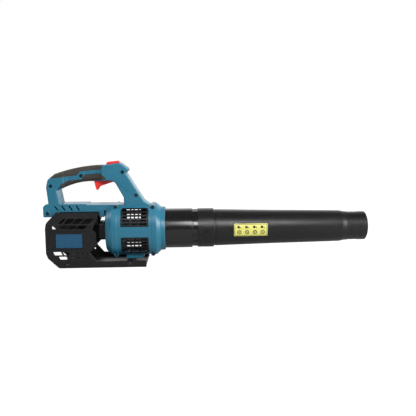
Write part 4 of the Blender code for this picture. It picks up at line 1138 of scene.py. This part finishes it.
def guide_vanes():
    """Fixed vanes behind the fan, whose hub holds the motor."""
    first, last = MOTOR_X[0] - 1.5, MOTOR_X[1] + 2
    hub = MOTOR_RADIUS + 3
    corners = [
        (first, MOTOR_RADIUS + GAP, 0.3), (first, hub, 1), (last, hub, 0.3),
        (last, MOTOR_RADIUS + GAP, 0.3)
    ]
    part = turned(rounded(corners, 5), "guide_vanes")
    ring = [(first + 2, DUCT_BORE - 2.2), (first + 2, DUCT_BORE - GAP), (last - 4, DUCT_BORE - GAP),
            (last - 4, DUCT_BORE - 2.2)]
    cut(part, blades(VANES, hub - 1.5, DUCT_BORE - 1.4, first + 3, last - 6, -0.5, 3), "UNION")
    boolean(part, turned(ring), "UNION")


def tail_cone():
    """Cone that closes the hub behind the motor, along the air's way out."""
    start = MOTOR_X[1] + 2.4
    hub = MOTOR_RADIUS + 3
    corners = [
        (start, hub - 2.2, 0.3), (start, hub, 0.3), (start + 22, hub - 6, 40), (start + 46, 8, 8),
        (start + 50, 4, 2), (start + 50, 2, 0.5), (start + 44, 5, 1), (start + 20, hub - 8.4, 20),
    ]
    turned(rounded(corners, 5), "tail_cone")


impeller()
guide_vanes()
tail_cone()


# ---- baked pieces


def bake(thing):
    """The mesh that a piece's modifiers make, where it stands."""
    graph = bpy.context.evaluated_depsgraph_get()
    mesh = bpy.data.meshes.new_from_object(
        thing.evaluated_get(graph), preserve_all_data_layers=False, depsgraph=graph
    )
    mesh.transform(thing.matrix_world)
    return mesh


bpy.context.view_layer.update()
baked = [(thing, bake(thing)) for thing in PIECES.objects]
for thing, mesh in baked:
    thing.modifiers.clear()
    thing.data = mesh
    thing.matrix_world = Matrix.Identity(4)
for thing in list(TOOLS.objects):
    bpy.data.objects.remove(thing, do_unlink=True)
bpy.data.collections.remove(TOOLS)


# ---- materials


def link(tree, source, output, target, into):
    """Joins two sockets, each given by its name or number."""
    tree.links.new(source.outputs[output], target.inputs[into])


def add_node(tree, kind, values):
    """A new shader node with these values on its sockets."""
    made = tree.nodes.new("ShaderNode" + kind)
    for socket, value in values.items():
        made.inputs[socket].default_value = value
    return made


def surface(name, colour, roughness, metallic=0, grain=1800, grain_depth=0.02, mottling=0.06,
            wear=0.06, edge=0.35, specular=0.5):
    """A Principled material with a fine grain, slow changes of tone and gloss, and soft edges.

    The grain is given by its scale per metre and its depth in mm; the edge radius is in mm.
    """
    made = bpy.data.materials.new(name)
    made.use_nodes = True
    tree = made.node_tree
    shader = tree.nodes["Principled BSDF"]
    shader.inputs["Metallic"].default_value = metallic
    shader.inputs["Specular IOR Level"].default_value = specular
    place_on = tree.nodes.new("ShaderNodeTexCoord")
    slow = add_node(tree, "TexNoise", {"Scale": 22, "Detail": 4})
    fine = add_node(tree, "TexNoise", {"Scale": grain, "Detail": 2})
    for noise in (slow, fine):
        link(tree, place_on, "Object", noise, "Vector")
    tone = tree.nodes.new("ShaderNodeMix")
    tone.data_type = "RGBA"
    tone.inputs[6].default_value = (*[value * (1 - mottling) for value in colour], 1)
    tone.inputs[7].default_value = (*[value * (1 + mottling) for value in colour], 1)
    link(tree, slow, "Fac", tone, 0)
    link(tree, tone, 2, shader, "Base Color")
    limits = {"From Min": 0.3, "From Max": 0.7, "To Min": roughness - wear, "To Max": roughness + wear}
    gloss = add_node(tree, "MapRange", limits)
    link(tree, slow, "Fac", gloss, "Value")
    link(tree, gloss, "Result", shader, "Roughness")
    corner = add_node(tree, "Bevel", {"Radius": edge * MM})
    corner.samples = 4
    bump = add_node(tree, "Bump", {"Strength": 1, "Distance": grain_depth * MM})
    link(tree, fine, "Fac", bump, "Height")
    link(tree, corner, "Normal", bump, "Normal")
    link(tree, bump, "Normal", shader, "Normal")
    return made


# colour, roughness and the rest of each finish
FINISHES = {
    "body_blue": ((0.014, 0.125, 0.196), 0.36, dict(grain_depth=0.03, specular=0.45)),
    "grip_rubber": ((0.036, 0.031, 0.026), 0.66, dict(grain=1100, grain_depth=0.06, specular=0.3)),
    "control_red": ((0.74, 0.022, 0.018), 0.36, dict(grain_depth=0.01)),
    "guard_black": ((0.0045, 0.0045, 0.0055), 0.46, dict(grain_depth=0.03, specular=0.34)),
    "duct_black": ((0.004, 0.004, 0.0044), 0.20, dict(grain_depth=0.002, wear=0.03)),
    "nozzle_black": ((0.004, 0.004, 0.0042), 0.38, dict(grain_depth=0.012, wear=0.04, specular=0.36)),
    "badge_blue": ((0.002, 0.058, 0.125), 0.34, dict(grain_depth=0.005)),
    "label_yellow": ((0.56, 0.54, 0.13), 0.45, dict(grain_depth=0.004, edge=0.15)),
    "steel": ((0.55, 0.55, 0.56), 0.30, dict(metallic=1, grain_depth=0.004)),
    "screw_black": ((0.06, 0.06, 0.062), 0.42, dict(metallic=1, grain_depth=0.006, edge=0.2)),
    "aluminium": ((0.7, 0.7, 0.71), 0.38, dict(metallic=1, grain_depth=0.02)),
    "terminal_brass": ((0.7, 0.48, 0.2), 0.30, dict(metallic=1, grain_depth=0.004)),
    "fan_nylon": ((0.05, 0.05, 0.052), 0.50, dict(grain_depth=0.02)),
    "lamination": ((0.28, 0.27, 0.26), 0.48, dict(metallic=1, grain=4000, grain_depth=0.02)),
    "circuit_board": ((0.02, 0.15, 0.06), 0.45, dict(grain_depth=0.01)),
}
MATERIALS = {name: surface(name, colour, roughness, **more)
             for name, (colour, roughness, more) in FINISHES.items()}

SLOT_OF = {part["node"]: part["material_slot"] for part in frame["record"]["subparts"]}
BODY_OF = {
    node: body for body, nodes in frame["record"]["behaviour"]["bodies"].items() for node in nodes
}


def dress(thing, slot):
    """Gives a mesh one of the finishes."""
    thing.data.materials.clear()
    thing.data.materials.append(MATERIALS[slot])


def shade(thing):
    """Smooth shading that keeps the creases, with the normals led by the large faces."""
    thing.data.shade_smooth()
    thing.data.set_sharp_from_angle(angle=CREASE)
    even = thing.modifiers.new("even_normals", "WEIGHTED_NORMAL")
    even.keep_sharp = True
    even.weight = 95


for thing in PIECES.objects:
    node = thing["node"]
    shade(thing)
    slot = SLOT_OF.get(node) or thing["slot"]
    dress(thing, slot)
    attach(thing, BODY_OF.get(node) or thing["body"])
    if node in SLOT_OF:
        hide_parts(node)

STAND_INS = {thing["node"] for thing in PIECES.objects}
for node, thing in frame["nodes"].items():
    if node not in STAND_INS:
        dress(thing, SLOT_OF[node])


# ---- floor, light and camera


def seen_or_lit(tree, seen, lit, target):
    """Shows one shader to the camera, and lights the object with the other."""
    path = tree.nodes.new("ShaderNodeLightPath")
    mix = tree.nodes.new("ShaderNodeMixShader")
    link(tree, path, "Is Camera Ray", mix, "Fac")
    link(tree, lit, 0, mix, 1)
    link(tree, seen, 0, mix, 2)
    link(tree, mix, 0, target, "Surface")


def floor():
    """A wide round white floor just under the skid, with the soft shadow of the object on it."""
    mesh = bpy.data.meshes.new("floor")
    with editing(mesh) as work:
        bmesh.ops.create_circle(work, cap_ends=True, segments=96, radius=FLOOR_RADIUS)
    thing = bpy.data.objects.new("floor", mesh)
    bpy.context.scene.collection.objects.link(thing)
    thing.location.z = -FLOOR_DROP
    paper = bpy.data.materials.new("paper")
    paper.use_nodes = True
    tree = paper.node_tree
    tree.nodes.remove(tree.nodes["Principled BSDF"])
    shaded = add_node(tree, "BsdfDiffuse", {"Color": FLOOR_SHADED})
    glow = add_node(tree, "Emission", {"Strength": FLOOR_GLOW})
    both = tree.nodes.new("ShaderNodeAddShader")
    link(tree, shaded, 0, both, 0)
    link(tree, glow, 0, both, 1)
    seen_or_lit(
        tree, both, add_node(tree, "BsdfDiffuse", {"Color": FLOOR_LIT}),
        tree.nodes["Material Output"]
    )
    mesh.materials.append(paper)


def walls():
    """The studio: plain white to the camera, and brighter behind the object than in front of it."""
    world = bpy.data.worlds.new("studio")
    world.use_nodes = True
    tree = world.node_tree
    sky = tree.nodes["Background"]
    sky.inputs["Color"].default_value = WHITE
    direction = tree.nodes.new("ShaderNodeTexCoord")
    split = tree.nodes.new("ShaderNodeSeparateXYZ")
    link(tree, direction, "Generated", split, "Vector")
    rise = add_node(
        tree, "MapRange",
        {"From Min": 0.55, "From Max": 0.85, "To Min": WALLS[0], "To Max": WALLS[1]}
    )
    link(tree, split, "Y", rise, "Value")
    link(tree, rise, "Result", sky, "Strength")
    backdrop = add_node(tree, "Background", {"Color": WHITE, "Strength": 1})
    seen_or_lit(tree, backdrop, sky, tree.nodes["World Output"])
    bpy.context.scene.world = world


def softbox(name, at, aim, size, power, mirrored):
    """A square light at a place, turned to a point. One that isn't mirrored makes no highlight."""
    data = bpy.data.lights.new(name, "AREA")
    data.shape = "SQUARE"
    data.size = size
    data.energy = power
    thing = bpy.data.objects.new(name, data)
    bpy.context.scene.collection.objects.link(thing)
    thing.location = at
    thing.rotation_euler = (Vector(aim) - Vector(at)).to_track_quat("-Z", "Y").to_euler()
    thing.visible_glossy = mirrored


def camera():
    """The camera: a little above the object's middle, looking slightly down and to the right."""
    yaw, pitch, roll = (math.radians(value) for value in CAMERA_TURN)
    ahead = Vector(
        (math.sin(yaw) * math.cos(pitch), math.cos(yaw) * math.cos(pitch), -math.sin(pitch))
    )
    right = Vector((math.cos(yaw), -math.sin(yaw), 0))
    down = ahead.cross(right)
    across = right * math.cos(roll) + down * math.sin(roll)
    below = down * math.cos(roll) - right * math.sin(roll)
    turn = Matrix((across, -below, -ahead)).transposed().to_4x4()
    data = bpy.data.cameras.new("camera")
    data.sensor_width = SENSOR
    data.lens = LENS
    data.clip_end = 50
    thing = bpy.data.objects.new("camera", data)
    bpy.context.scene.collection.objects.link(thing)
    thing.matrix_world = Matrix.Translation(CAMERA_AT) @ turn
    bpy.context.scene.camera = thing


WHITE = (1, 1, 1, 1)
FLOOR_RADIUS = 9
FLOOR_DROP = 0.0004
FLOOR_GLOW = 0.95
FLOOR_SHADED = (0.15, 0.15, 0.15, 1)
FLOOR_LIT = (0.45, 0.45, 0.45, 1)
WALLS = (
    0.20, 1.6
)  # how brightly the studio's walls light the object, in front of it and behind it
CAMERA_AT = (0.2039, -1.3290, 0.3119)
CAMERA_TURN = (3.1, 7.2, 0.3)  # yaw, pitch and roll, in degrees
LENS = 43.01  # mm
SENSOR = 36  # mm wide
# name, place, point it is turned to, size, watts, whether it makes a highlight
LIGHTS = (
    ("key", (0.6, -1.8, 1.35), (0.25, 0, 0.1), 0.7, 36, True),
    ("over", (0.25, 0.15, 1.7), (0.2, 0, 0.1), 0.8, 12, False),
    ("side", (1.9, -0.7, 0.6), (0.1, 0, 0.15), 0.8, 34, True),
    ("rear_side", (-1.5, -0.3, 1.2), (-0.1, 0, 0.15), 0.7, 12, True),
)

floor()
camera()
for light in LIGHTS:
    softbox(*light)
walls()
bpy.context.scene.view_settings.view_transform = "Standard"
bpy.context.view_layer.update()
